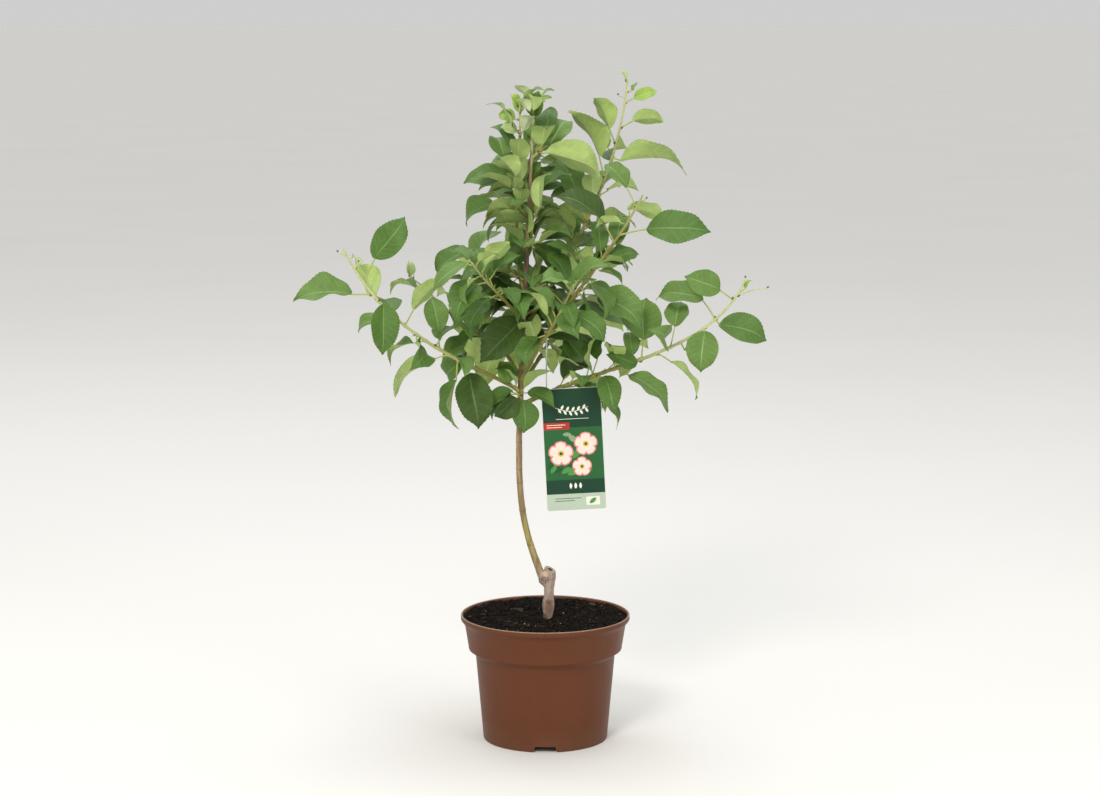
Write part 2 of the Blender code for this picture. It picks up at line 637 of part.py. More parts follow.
def spiral_blades(course, spiral, upright=False, lift=0.0):
    """Leaves that follow the stem's spiral, largest in the middle of the shoot."""
    draw = random.Random(spiral.seed)
    blades = []
    start = draw.uniform(0.0, 360.0)
    for index in range(spiral.count):
        share = spiral.first + (1.0 - spiral.first) * (index + 0.6) / spiral.count
        root, tangent = along_course(course, share)
        across = tangent.cross(Vector((0.0, 0.0, 1.0)))
        if across.length < 0.1:
            across = Vector((1.0, 0.0, 0.0))
        across.normalize()
        out = Matrix.Rotation(math.radians(start + GOLDEN_TURN * index), 3, tangent) @ across
        climb = 0.9 if upright else draw.uniform(0.15, 0.65)
        droop = draw.uniform(-0.10, 0.50)
        along = out + tangent * climb
        if not upright:
            along.z += lift - droop
        along.normalize()
        stem = (out * 0.8 + tangent * 0.6 + Vector((0.0, 0.0, 0.35))).normalized()
        up = Vector((0.0, 0.0, 1.0)) if not upright else -out
        face = (up - along * up.dot(along)).normalized()
        face = Matrix.Rotation(math.radians(draw.uniform(-35.0, 35.0)), 3, along) @ face
        swell = 0.70 + 0.42 * math.sin(math.pi * (0.12 + 0.78 * share))
        length = spiral.blade * swell * draw.uniform(0.88, 1.08)
        width = length * draw.uniform(0.50, 0.62)
        blades.append(Blade(root, stem * length * draw.uniform(0.26, 0.40), along, face, length, width))
    return blades


def turned_blade(blade, push, degrees, scale):
    """The same leaf, pushed back, swung about the upright line through its root, and made smaller."""
    swing = Matrix.Rotation(math.radians(degrees), 3, "Z")
    stalk = swing @ (blade.stalk + Vector((0.0, push * MM, 0.0))) * scale
    return Blade(blade.root, stalk, swing @ blade.along, swing @ blade.face,
                 blade.length * scale, blade.width * scale)


# The ways in which a leaf is tried: pushed back in mm, swung in degrees, and made smaller
TRIES = [(0, 0, 1.0), (6, 0, 1.0), (-6, 0, 1.0), (12, 0, 1.0), (-12, 0, 1.0), (18, 0, 1.0), (-18, 0, 1.0),
         (0, 7, 1.0), (0, -7, 1.0), (0, 14, 1.0), (0, -14, 1.0), (0, 22, 1.0), (0, -22, 1.0), (0, 10, 0.85),
         (0, -10, 0.85), (0, 32, 0.9), (0, -32, 0.9), (0, 45, 0.85), (0, -45, 0.85)]


class Space:
    """What already stands, so that a new leaf touches none of it."""

    def __init__(self):
        self.shapes = []

    def add(self, owner, shape):
        corners, faces = shape
        low = Vector([min(corner[axis] for corner in corners) for axis in range(3)])
        high = Vector([max(corner[axis] for corner in corners) for axis in range(3)])
        self.shapes.append((owner, BVHTree.FromPolygons(corners, faces), low, high))

    def free(self, shape, owner, own):
        """Whether a shape touches none of its own mass, or none of all the rest."""
        corners, faces = shape
        low = [min(corner[axis] for corner in corners) for axis in range(3)]
        high = [max(corner[axis] for corner in corners) for axis in range(3)]
        tree = None
        for name, other, other_low, other_high in self.shapes:
            if (name == owner) != own:
                continue
            if any(high[axis] < other_low[axis] or low[axis] > other_high[axis] for axis in range(3)):
                continue
            tree = tree or BVHTree.FromPolygons(corners, faces)
            if tree.overlap(other):
                return False
        return True

    def place(self, owner, blades, side=1.0):
        """Stand each leaf where it touches nothing, and leave out what finds no room."""
        settled = [self.settle(owner, blade, side) for blade in blades]
        return [blade for blade in settled if blade is not None]

    def settle(self, owner, blade, side):
        """The first way of turning a leaf that touches nothing and stays within the side, or None."""
        for push, degrees, scale in TRIES:
            tried = turned_blade(blade, push, degrees, scale)
            corners, faces = leaf_corners(tried, CLEARANCE)
            if max(abs(corner.x) for corner in corners) > side:
                continue
            stations = [item[0] for item in spindle(5, 3, True)[0]]
            outer = [face for face in faces if min(stations[index] for index in face) > 1]
            if self.free((corners, faces), owner, False) and self.free((corners, outer), owner, True):
                self.add(owner, leaf_corners(tried))
                return tried
        return None


def is_closed(mesh):
    """Whether a mesh is one closed surface, with two faces at every edge and no loose scrap."""
    bm = bmesh.new()
    bm.from_mesh(mesh)
    closed = all(len(edge.link_faces) == 2 and edge.is_contiguous for edge in bm.edges)
    reached = {bm.verts[:][0]}
    waiting = list(reached)
    while waiting:
        vert = waiting.pop()
        for edge in vert.link_edges:
            other = edge.other_vert(vert)
            if other not in reached:
                reached.add(other)
                waiting.append(other)
    whole = len(reached) == len(bm.verts)
    bm.free()
    return closed and whole


def without_slivers(mesh):
    """The mesh with its shortest edges merged away, or as it is where that would open it."""
    bm = bmesh.new()
    bm.from_mesh(mesh)
    bmesh.ops.dissolve_degenerate(bm, edges=bm.edges, dist=SLIVER)
    bmesh.ops.triangulate(bm, faces=bm.faces)
    cleaned = mesh_from(bm, mesh.name)
    return cleaned if is_closed(cleaned) else mesh


def fuse(stem, blades, name):
    """Join the leaves to their stem with one union on a collection."""
    group = bpy.data.collections.new(name + " leaves")
    bpy.context.scene.collection.children.link(group)
    for index, blade in enumerate(blades):
        add_object(f"{name} leaf {index}", mesh_of(name, leaf_corners(blade)), "leaf", group)
    join = stem.modifiers.new("leaves", "BOOLEAN")
    join.operation = "UNION"
    join.operand_type = "COLLECTION"
    join.collection = group
    joined = evaluated_mesh(stem)
    if not is_closed(joined):
        join.solver = "MANIFOLD"
        joined = evaluated_mesh(stem)
    stem.data = without_slivers(joined)
    stem.modifiers.clear()
    for leaf in list(group.objects):
        bpy.data.objects.remove(leaf, do_unlink=True)
    bpy.data.collections.remove(group)
    stem.data.materials.clear()
    stem.data.materials.append(finish("leaf"))


def stem_parts():
    """Every limb and stem: name, course of the mass's stem, its tube, and the bough's tube or None."""
    parts = []
    for name, shoot in SHOOTS.items():
        course = shoot_course(shoot)
        length = sum((b - a).length for a, b in zip(course, course[1:]))
        middle = (shoot.base + (shoot.tip - shoot.base) * shoot.bare) * MM
        bough_points = stretch(course, 0.0, shoot.bare, 6)
        bough_radii = [shoot.base * MM + (middle - shoot.base * MM) * step / 5 for step in range(6)]
        stem_points = stretch(course, shoot.bare + GAP / length, 1.0, 9)
        stem_radii = [middle + (shoot.tip * MM - middle) * step / 8 for step in range(9)]
        parts.append((name, course, (stem_points, stem_radii, 5), (bough_points, bough_radii, 6)))
    for name, spur in SPURS.items():
        start = trunk_centre(spur.height)
        lift = math.radians(spur.lift)
        along = on_heading(spur.heading) * math.cos(lift) + Vector((0.0, 0.0, math.sin(lift)))
        end = start + along * spur.length
        course = [start, start.lerp(end, 0.5), end]
        parts.append((name, course, (course, [SPUR_RADIUS, SPUR_RADIUS, SPUR_RADIUS * 0.8], 5), None))
    tip = trunk_centre(TRUNK_TOP)
    rise = (tip - trunk_centre(TRUNK_TOP - 0.01)).normalized()
    course = [tip + rise * GAP, tip + rise * TOP_STEM / 2, tip + rise * TOP_STEM]
    parts.append(("top", course, (course, [1.6 * MM, 1.3 * MM, 1.0 * MM], 5), None))
    return parts


def make_plant(label_shapes):
    """Boughs first, then every mass's stem, then its leaves, each kept clear of all that stands."""
    make_trunk()
    fatter = mesh_of("trunk_cutter", tube_shape(*scion_course(GAP), TRUNK_SIDES))
    cutter = add_object("trunk_cutter", fatter, "bark")
    space = Space()
    space.add("trunk", tube_shape(*scion_course(), TRUNK_SIDES))
    for shape in label_shapes:
        space.add("label", shape)
    stems = {}
    for name, course, stem, bough in stem_parts():
        if bough:
            limb_name = name if name == "second_leader" else "bough_" + name
            limb = add_object(limb_name, mesh_of(limb_name, tube_shape(*bough)), "bark")
            cut_clear(limb, cutter)
            smooth(limb.data, 60.0)
            space.add(limb_name, tube_shape(*bough))
        piece = add_object("leaves_" + name, mesh_of(name, tube_shape(*stem)), "leaf")
        if name in SPURS:
            cut_clear(piece, cutter)
        space.add(name, tube_shape(*stem))
        stems[name] = (piece, course)
    kept = {name: [] for name in stems}
    for name, (_, course) in stems.items():
        kept[name] += space.place(name, shown_blades(course, SHOWN.get(name, ())))
    for name, spiral in SPIRALS.items():
        wanted = spiral_blades(stems[name][1], spiral, name == "top", RISE if name in RISING else 0.0)
        kept[name] += space.place(name, wanted, SPIRAL_SIDE)
    for name, (piece, _) in stems.items():
        fuse(piece, kept[name], "leaves_" + name)
    bpy.data.objects.remove(cutter, do_unlink=True)


# The label

def label_place():
    return Matrix.Translation(LABEL_CENTRE) @ Matrix.Rotation(math.radians(LABEL_TILT), 4, "Y")


def label_hole():
    return Vector((HOLE_FROM_LEFT - LABEL_WIDTH / 2, 0.0, LABEL_HEIGHT / 2 - HOLE_FROM_TOP))


def make_label():
    bm = bmesh.new()
    bmesh.ops.create_cube(bm, size=1.0)
    bmesh.ops.scale(bm, vec=(LABEL_WIDTH, LABEL_THICKNESS, LABEL_HEIGHT), verts=bm.verts)
    corners = [edge for edge in bm.edges if edge.verts[0].co.y * edge.verts[1].co.y < 0.0]
    bmesh.ops.bevel(bm, geom=corners, offset=LABEL_CORNER, segments=3, profile=0.5, affect="EDGES",
                    material=-1)
    bmesh.ops.transform(bm, matrix=label_place(), verts=bm.verts)
    card = add_object("label", mesh_from(bm, "label"), "card")
    bm = bmesh.new()
    upright = Matrix.Translation(label_hole()) @ Matrix.Rotation(math.radians(90), 4, "X")
    bmesh.ops.create_cone(bm, cap_ends=True, segments=12, radius1=HOLE_RADIUS, radius2=HOLE_RADIUS,
                          depth=LABEL_THICKNESS * 10, matrix=upright)
    bmesh.ops.transform(bm, matrix=label_place(), verts=bm.verts)
    punch = add_object("label_punch", mesh_from(bm, "label_punch"), "card")
    punch.hide_render = True
    punch.display_type = "WIRE"
    cut = card.modifiers.new("punched hole", "BOOLEAN")
    cut.operation = "DIFFERENCE"
    cut.object = punch


def loop_rings():
    """The centre line of the tie: an upright ring from the card's hole round the bough behind it."""
    hole = label_place() @ label_hole()
    bough = min(shoot_course(SHOOTS[LABEL_BOUGH], 400), key=lambda point: abs(point.x - hole.x))
    reach = Vector((0.0, bough.y - hole.y, bough.z - hole.z))
    along = reach.normalized()
    across = Vector((0.0, -along.z, along.y))
    half = (reach.length + LOOP_BEYOND) / 2
    points = []
    for step in range(LOOP_STEPS + 1):
        turn = math.tau * step / LOOP_STEPS
        swing = across * (LOOP_WIDTH / 2 * math.sin(turn))
        points.append(hole + along * (half - half * math.cos(turn)) + swing)
    return points


def make_tie():
    """The tie as a closed ring."""
    points = loop_rings()[:-1]
    bm = bmesh.new()
    loops = []
    for index, point in enumerate(points):
        along = (points[(index + 1) % LOOP_STEPS] - points[index - 1]).normalized()
        across = Vector((1.0, 0.0, 0.0))
        beside = along.cross(across)
        frame = Matrix((across, beside, along)).transposed().to_4x4()
        frame.translation = point
        ring = bmesh.ops.create_circle(bm, cap_ends=False, segments=4, radius=LOOP_RADIUS, matrix=frame)
        loops.append(ring["verts"])
    for index, ring in enumerate(loops):
        following = loops[(index + 1) % LOOP_STEPS]
        for corner in range(4):
            other = (corner + 1) % 4
            bm.faces.new((ring[corner], ring[other], following[other], following[corner]))
    bmesh.ops.recalc_face_normals(bm, faces=bm.faces)
    tie = add_object("label_tie", mesh_from(bm, "label_tie"), "tie")
    smooth(tie.data, 60.0)


def label_shapes():
    """The card and its tie as plain shapes, for the leaves to keep clear of."""
    place = label_place()
    corners = [place @ Vector((x * LABEL_WIDTH / 2, y * LABEL_THICKNESS, z * LABEL_HEIGHT / 2))
               for x in (-1, 1) for y in (-1, 1) for z in (-1, 1)]
    faces = [(0, 1, 3, 2), (4, 6, 7, 5), (0, 4, 5, 1), (2, 3, 7, 6), (0, 2, 6, 4), (1, 5, 7, 3)]
    points = loop_rings()
    return [(corners, faces), tube_shape(points, [LOOP_RADIUS * 2] * len(points), 4)]


def main():
    clear_scene()
    make_pot()
    make_soil()
    make_label()
    make_tie()
    make_plant(label_shapes())


if __name__ == "__main__":
    main()
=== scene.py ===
"""The looks of a young dwarf fruit tree in a nursery pot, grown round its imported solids.

Metres, with +Z up; the pot's flat underside stands on z = 0 and the front of the plant looks along -Y.
The growth rule and its tables are those of the solids, so that every leaf stands where its solid does.
"""
import functools
import math
import random
from collections import namedtuple

import bmesh
import bpy
import numpy
from bpy.props import FloatProperty, PointerProperty, StringProperty
from mathutils import Matrix, Vector, noise
from mathutils.bvhtree import BVHTree


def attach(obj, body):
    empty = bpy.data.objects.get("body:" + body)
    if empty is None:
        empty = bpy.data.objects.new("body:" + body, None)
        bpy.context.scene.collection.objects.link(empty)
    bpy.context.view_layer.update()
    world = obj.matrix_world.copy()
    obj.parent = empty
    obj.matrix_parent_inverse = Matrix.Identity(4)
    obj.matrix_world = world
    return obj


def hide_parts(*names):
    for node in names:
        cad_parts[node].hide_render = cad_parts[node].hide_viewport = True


bl_info = {
    "name": "Potted dwarf fruit tree",
    "version": (1, 0, 0),
    "blender": (4, 5, 0),
    "location": "3D View > Sidebar > Fruit tree",
    "description": "Bark, shoots, leaves, pot, compost and label of a young grafted fruit tree",
    "category": "Object",
}

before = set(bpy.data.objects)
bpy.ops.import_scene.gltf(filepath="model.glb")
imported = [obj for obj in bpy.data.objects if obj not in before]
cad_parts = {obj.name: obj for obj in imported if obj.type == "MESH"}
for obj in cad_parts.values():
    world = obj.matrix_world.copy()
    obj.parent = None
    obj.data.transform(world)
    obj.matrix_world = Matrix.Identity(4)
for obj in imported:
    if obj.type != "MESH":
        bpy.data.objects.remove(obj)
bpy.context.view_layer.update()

MM = 0.001
GAP = 0.0003

# The pot: a moulded nursery pot with a deep band under a thin lip, and a body stepped in below it
POT_HEIGHT = 0.157
POT_WALL = 0.0018
LIP_RADIUS = 0.105
BAND_TOP_RADIUS = 0.1003
BAND_FOOT_RADIUS = 0.0954
STEP_RADIUS = 0.0918
BODY_TOP_RADIUS = 0.0868
FOOT_RADIUS = 0.0775
LIP_FOOT = 0.1450
BAND_FOOT = 0.1147
STEP_HEIGHT = 0.1116
BODY_TOP = 0.1070
CHANNEL_HEIGHT = 0.008
FLOOR_DISC_RADIUS = 0.056

NOTCHES = 3
NOTCH_TOP_WIDTH = 0.025
NOTCH_FOOT_WIDTH = 0.031
NOTCH_HEIGHT = 0.0072
NOTCH_DEPTH = 0.024

SOIL_TOP = 0.1520

# The trunk: a pruned rootstock, and the scion that leaves its side and runs up to the tip
ROOTSTOCK_X = 0.0032
ROOTSTOCK_LEAN = 0.045
CUT_SLOPE = 24.0
CUT_FORWARD = 0.3
CUT_DROP = 0.0035
UNION_X = -0.003
UNION_HEIGHT = 0.197
LEAN = 0.039
LEAN_RISE = 0.070
LEAN_POWER = 1.3
DRIFT = 0.048
TRUNK_TOP = 0.762
TRUNK_SIDES = 8
SCION_FOOT = 0.1945
SCION_INSET = 0.005
SCION_STATIONS = 18
SCION_CROWDING = 1.7
# Radii in mm at their heights
SCION_RADII = ((0.1945, 5.2), (0.215, 4.6), (0.260, 3.9), (0.440, 3.7), (0.600, 2.8), (0.762, 1.7))
ROOTSTOCK_RADII = (
    (0.150, 5.6), (0.155, 5.6), (0.164, 7.2), (0.1725, 7.5), (0.177, 6.2), (0.190, 6.1), (0.204, 7.7),
    (0.2165, 6.6),
)

# A leaf: a bare stalk, then a blade that is widest a third of the way along
STALK_RADIUS = 0.8 * MM
BLADE_STATIONS = ((0.36, 1.0), (0.74, 0.72))
BLADE_WIDTH = 0.56
BLADE_ARCH = 0.07
BLADE_THICKNESS = 1.2 * MM
CLEARANCE = 0.6 * MM
GOLDEN_TURN = 137.5

# The hanging label: a plain card with a hole near its top left corner, and a thin loop through it
LABEL_WIDTH = 0.073
LABEL_HEIGHT = 0.152
LABEL_THICKNESS = 0.8 * MM
LABEL_CORNER = 3.0 * MM
LABEL_CENTRE = Vector((0.0352, -0.0135, 0.3665))
LABEL_TILT = -3.0
HOLE_RADIUS = 2.5 * MM
HOLE_FROM_LEFT = 0.0065
HOLE_FROM_TOP = 0.0065
LABEL_BOUGH = "mid_right"
LOOP_BEYOND = 0.008
LOOP_WIDTH = 0.020
LOOP_RADIUS = 0.5 * MM
LOOP_STEPS = 16

# A shoot leaves the trunk at a height, on a heading, and reaches and rises by so much. It sets off at
# one slope and ends at another; hold says how far it keeps the first. The bough is its bare share.
Shoot = namedtuple("Shoot", "height heading reach rise launch finish hold bare base tip")
SHOOTS = {
    "low_left": Shoot(0.436, 196, 0.220, 0.182, 35, 65, 0.20, 0.19, 2.7, 1.2),
    "mid_left": Shoot(0.487, 168, 0.142, 0.087, 5, 25, 0.45, 0.24, 2.1, 1.0),
    "low_right": Shoot(0.418, -6, 0.274, 0.156, 30, 65, 0.33, 0.13, 3.0, 1.2),
    "mid_right": Shoot(0.464, -15, 0.152, 0.217, 55, 65, 0.45, 0.18, 2.8, 1.2),
    "upper_right": Shoot(0.514, 32, 0.152, 0.302, 50, 85, 0.33, 0.22, 2.8, 1.1),
    "front_left": Shoot(0.520, 243, 0.130, 0.085, 40, 40, 0.33, 0.22, 2.2, 1.1),
    "front_right": Shoot(0.450, -62, 0.135, 0.130, 45, 50, 0.33, 0.22, 2.2, 1.1),
    "back_left": Shoot(0.452, 114, 0.185, 0.125, 30, 55, 0.33, 0.20, 2.7, 1.1),
    "back_right": Shoot(0.440, 66, 0.195, 0.140, 30, 55, 0.33, 0.20, 2.7, 1.1),
    "back_high": Shoot(0.590, 84, 0.115, 0.130, 45, 75, 0.33, 0.22, 2.4, 1.1),
    "second_leader": Shoot(0.560, 135, 0.009, 0.226, 50, 88, 0.20, 0.40, 2.5, 1.1),
}

# A spur leaves the trunk at a height, on a heading, with a short stem of its own
Spur = namedtuple("Spur", "height heading length lift")
SPURS = {
    "low_spur": Spur(0.430, 270, 0.014, 20),
    "right_spur": Spur(0.484, -10, 0.018, 30),
    "front_spur": Spur(0.525, 275, 0.014, 30),
    "middle_left_spur": Spur(0.572, 165, 0.014, 30),
    "middle_right_spur": Spur(0.553, -15, 0.016, 30),
    "inner_spur": Spur(0.612, 285, 0.013, 30),
    "upper_left_spur": Spur(0.650, 200, 0.013, 30),
    "upper_front_spur": Spur(0.630, 290, 0.014, 40),
    "high_left_spur": Spur(0.680, 160, 0.012, 40),
    "high_right_spur": Spur(0.722, 10, 0.013, 40),
    "back_low_spur": Spur(0.500, 80, 0.016, 30),
    "back_middle_spur": Spur(0.542, 60, 0.016, 35),
    "back_high_spur": Spur(0.668, 115, 0.014, 40),
}
SPUR_RADIUS = 1.7 * MM
TOP_STEM = 0.026

# The leaves that show from the front. Each row gives: where its stalk leaves the stem, as a share; the
# stalk's length in mm and its lift in degrees, as seen from the front; the blade's length and its aim;
# how far the blade leans away to the back; its turn, with 0 for the top side to the front, 90 for edge
# on and 180 for the underside; and its width to its length, where that isn't the usual one.
SHOWN = {
    "low_left": (
        (0.77, 25, 178, 74, 182, -10, 55), (0.83, 33, 67, 67, 53, -10, 15),
        (0.74, 8, 100, 52, 128, 38, 150, 0.7), (0.73, 6, 330, 64, 271, -15, 20),
        (0.68, 12, 250, 46, 198, 20, 60), (0.58, 22, 65, 57, 44, 10, 130),
        (0.4, 21, 93, 48, 101, 10, 15, 0.62), (0.47, 16, 188, 47, 211, 20, 85),
        (0.35, 18, 190, 76, 213, -15, 115), (0.27, 13, 292, 75, 282, -20, 5, 0.6),
        (0.31, 25, 265, 66, 266, 5, 70), (0.23, 16, 150, 46, 225, 30, 20),
        (0.88, 10, 100, 26, 110, 60, 60), (0.62, 14, 120, 58, 150, 68, 70),
        (0.52, 14, 280, 60, 285, -70, 75), (0.42, 16, 60, 60, 30, 68, 75),
    ),
    "mid_left": (
        (0.97, 6, 125, 20, 93, 0, 20), (0.9, 7, 205, 44, 178, 30, 95), (0.81, 29, 76, 56, 29, 10, 45),
        (0.45, 17, 110, 42, 115, 35, 15), (0.36, 22, 80, 26, 45, -20, 60),
        (0.33, 8, 250, 55, 204, -10, 45), (0.6, 12, 100, 56, 130, 68, 70),
        (0.7, 12, 300, 52, 330, -65, 75),
    ),
    "low_right": (
        (0.82, 8, 300, 68, 346, -10, 35), (0.77, 4, 275, 55, 263, -20, 5, 0.72),
        (0.56, 21, 333, 58, 311, -10, 100), (0.4, 17, 332, 70, 323, -10, 60),
        (0.17, 25, 5, 59, 317, -25, 40), (0.24, 30, 328, 54, 306, 5, 70),
        (0.49, 6, 240, 43, 156, -20, 30), (0.3, 21, 72, 39, 83, 10, 50),
        (0.5, 24, 83, 56, 88, 15, 5, 0.9), (0.62, 26, 78, 38, 80, 25, 20, 0.8),
        (0.82, 29, 120, 64, 176, 14, 45), (0.92, 21, 141, 50, 158, -15, 20, 0.66),
        (0.94, 14, 40, 14, 60, 0, 60), (0.66, 14, 300, 60, 320, 68, 75), (0.44, 14, 60, 58, 40, 66, 75),
        (0.6, 14, 120, 56, 100, -68, 70),
    ),
    "mid_right": (
        (0.87, 14, 100, 54, 345, 20, 125), (0.84, 8, 150, 36, 190, -10, 120),
        (0.78, 34, 14, 81, 1, -10, 35), (0.74, 25, 115, 75, 144, -10, 60),
        (0.93, 27, 114, 44, 130, 10, 35), (0.65, 8, 107, 45, 94, 30, 15, 0.45),
        (0.71, 9, 20, 50, 80, 30, 15, 0.5), (0.64, 7, 340, 47, 16, 20, 35),
        (0.6, 6, 310, 36, 336, -15, 80), (0.51, 20, 107, 54, 137, -15, 80),
        (0.43, 29, 5, 74, 330, -20, 30), (0.36, 28, 124, 70, 213, -30, 80),
        (0.24, 10, 20, 43, 329, 0, 60), (0.55, 14, 60, 60, 60, 68, 75), (0.46, 14, 300, 56, 300, -70, 75),
    ),
    "upper_right": (
        (0.99, 4, 110, 16, 126, 0, 60), (0.95, 8, 24, 14, 56, 20, 60), (0.91, 13, 32, 32, 20, -10, 40),
        (0.82, 18, 33, 44, 3, -10, 140), (0.76, 21, 111, 48, 114, -10, 150),
        (0.73, 10, 144, 28, 109, 30, 60), (0.63, 28, 101, 75, 122, -15, 130),
        (0.71, 11, 340, 90, 358, -10, 115), (0.46, 26, 110, 66, 118, 10, 30),
        (0.38, 10, 91, 29, 110, 0, 30), (0.52, 16, 127, 58, 178, 35, 40), (0.67, 12, 60, 58, 60, 66, 75),
        (0.57, 12, 60, 62, 20, 64, 75), (0.34, 14, 60, 62, 20, 66, 75),
    ),
    "front_left": (
        (0.95, 12, 150, 52, 216, -10, 60), (0.7, 14, 60, 44, 40, -25, 60),
        (0.5, 12, 200, 50, 235, -20, 40),
    ),
    "front_right": (
        (0.95, 12, 60, 50, 40, -25, 60), (0.75, 14, 350, 56, 325, -15, 50),
        (0.5, 12, 190, 44, 230, -25, 50),
    ),
    "second_leader": (
        (0.62, 16, 160, 56, 190, -5, 40), (0.69, 20, 160, 40, 110, 35, 20, 0.85),
        (0.86, 4, 150, 22, 165, -10, 30, 0.75), (0.92, 6, 170, 24, 160, 10, 30, 0.7),
        (0.99, 3, 110, 18, 122, 0, 30, 0.6), (0.97, 4, 60, 16, 50, 0, 60, 0.5),
        (0.66, 8, 120, 22, 140, -20, 30, 0.8), (0.5, 8, 110, 50, 92, -15, 60, 0.35),
        (0.55, 10, 150, 56, 162, -25, 100),
    ),
    "low_spur": (
        (0.85, 6, 225, 39, 220, -15, 10, 0.75), (1.0, 8, 290, 43, 274, -10, 10, 0.8),
        (0.7, 20, 130, 31, 111, 5, 20, 0.8),
    ),
    "right_spur": (
        (0.75, 26, 40, 92, 352, -15, 55), (0.9, 16, 5, 55, 285, -20, 10, 0.7),
        (1.0, 38, 15, 44, 308, 0, 15, 0.65),
    ),
    "front_spur": (
        (0.85, 6, 240, 80, 222, -25, 20), (1.0, 22, 30, 32, 301, -10, 30),
    ),
    "middle_left_spur": (
        (0.75, 16, 152, 68, 184, 5, 50), (1.0, 10, 165, 84, 219, -20, 30),
    ),
    "middle_right_spur": (
        (0.75, 20, 40, 46, 338, 10, 60), (1.0, 14, 20, 36, 290, -10, 30, 0.7),
    ),
    "inner_spur": (
        (0.8, 8, 200, 34, 225, -20, 40), (1.0, 8, 330, 34, 310, -10, 50), (0.9, 16, 20, 50, 355, 10, 70),
    ),
    "upper_left_spur": (
        (0.8, 8, 125, 46, 186, -15, 135), (1.0, 32, 160, 54, 207, 15, 45),
    ),
    "upper_front_spur": (
        (0.8, 8, 110, 66, 187, -25, 105), (1.0, 26, 66, 52, 84, -10, 145, 0.36),
    ),
    "high_left_spur": (
        (0.8, 14, 150, 50, 188, 20, 128), (1.0, 6, 100, 72, 94, -8, 150, 0.36),
    ),
    "high_right_spur": (
        (0.75, 10, 10, 84, 343, -15, 140), (0.9, 16, 30, 56, 56, 35, 20),
        (1.0, 18, 60, 56, 84, 40, 20, 0.5),
    ),
    "top": (
        (0.3, 3, 60, 34, 84, -10, 20, 0.68), (0.8, 3, 110, 18, 118, 0, 40, 0.5),
        (1.0, 2, 60, 15, 66, 0, 60, 0.5), (0.6, 4, 40, 22, 50, 40, 60, 0.6),
    ),
}

# The other leaves stand in a spiral round their stem: how many, from which share, how long, which draw
Spiral = namedtuple("Spiral", "count first blade seed")
SPIRALS = {
    "back_left": Spiral(14, 0.24, 0.070, 13),
    "back_right": Spiral(14, 0.24, 0.070, 14),
    "back_high": Spiral(12, 0.26, 0.064, 15),
    "front_left": Spiral(5, 0.40, 0.050, 11),
    "front_right": Spiral(5, 0.40, 0.050, 12),
    "second_leader": Spiral(5, 0.46, 0.046, 16),
    "top": Spiral(3, 0.20, 0.030, 26),
    "low_spur": Spiral(2, 0.60, 0.046, 27),
    "right_spur": Spiral(3, 0.60, 0.056, 28),
    "front_spur": Spiral(3, 0.60, 0.050, 29),
    "middle_left_spur": Spiral(3, 0.60, 0.056, 25),
    "middle_right_spur": Spiral(3, 0.60, 0.052, 30),
    "inner_spur": Spiral(3, 0.60, 0.050, 31),
    "upper_left_spur": Spiral(3, 0.60, 0.050, 32),
    "high_right_spur": Spiral(3, 0.60, 0.046, 33),
    "high_left_spur": Spiral(2, 0.60, 0.044, 34),
    "back_low_spur": Spiral(5, 0.60, 0.066, 22),
    "back_middle_spur": Spiral(5, 0.60, 0.064, 23),
    "back_high_spur": Spiral(4, 0.60, 0.058, 24),
}
# The finer leaves, which only the scene has: they fill the inner crown and the tips
Finer = namedtuple("Finer", "count first blade seed last")
FINER_SPIRALS = {
    "low_left": Finer(12, 0.08, 0.046, 61, 0.60),
    "mid_left": Finer(10, 0.10, 0.048, 62, 0.85),
    "low_right": Finer(14, 0.06, 0.046, 63, 0.55),
    "mid_right": Finer(12, 0.10, 0.050, 64, 0.70),
    "upper_right": Finer(12, 0.12, 0.050, 65, 0.62),
    "front_left": Finer(5, 0.30, 0.040, 66, 1.00),
    "front_right": Finer(5, 0.30, 0.040, 67, 1.00),
    "back_left": Finer(12, 0.15, 0.056, 68, 0.95),
    "back_right": Finer(12, 0.15, 0.056, 69, 0.95),
    "back_high": Finer(12, 0.15, 0.052, 70, 0.95),
    "second_leader": Finer(6, 0.35, 0.036, 71, 0.98),
    "low_spur": Finer(3, 0.50, 0.040, 72, 1.00),
    "right_spur": Finer(4, 0.50, 0.048, 73, 1.00),
    "front_spur": Finer(4, 0.50, 0.044, 74, 1.00),
    "middle_left_spur": Finer(4, 0.50, 0.048, 75, 1.00),
    "middle_right_spur": Finer(4, 0.50, 0.046, 76, 1.00),
    "inner_spur": Finer(3, 0.50, 0.044, 77, 1.00),
    "upper_left_spur": Finer(3, 0.50, 0.044, 78, 1.00),
    "upper_front_spur": Finer(2, 0.50, 0.040, 79, 1.00),
    "high_left_spur": Finer(2, 0.50, 0.036, 80, 1.00),
    "high_right_spur": Finer(2, 0.50, 0.038, 81, 1.00),
    "back_low_spur": Finer(5, 0.50, 0.056, 82, 1.00),
    "back_middle_spur": Finer(5, 0.50, 0.054, 83, 1.00),
    "back_high_spur": Finer(5, 0.50, 0.050, 84, 1.00),
    "top": Finer(4, 0.05, 0.022, 85, 1.00),
}

# The masses round the leader, whose spiral leaves rise, and by how much
RISING = ("second_leader", "high_left_spur", "high_right_spur", "upper_left_spur", "upper_front_spur",
          "inner_spur", "back_high_spur")
RISE = 0.75
# How far to the side a leaf of the spirals may reach, so that the crown stays open at its flanks
SPIRAL_SIDE = 0.118


def on_heading(degrees):
    """A level direction at a turn from +X."""
    turn = math.radians(degrees)
    return Vector((math.cos(turn), math.sin(turn), 0.0))


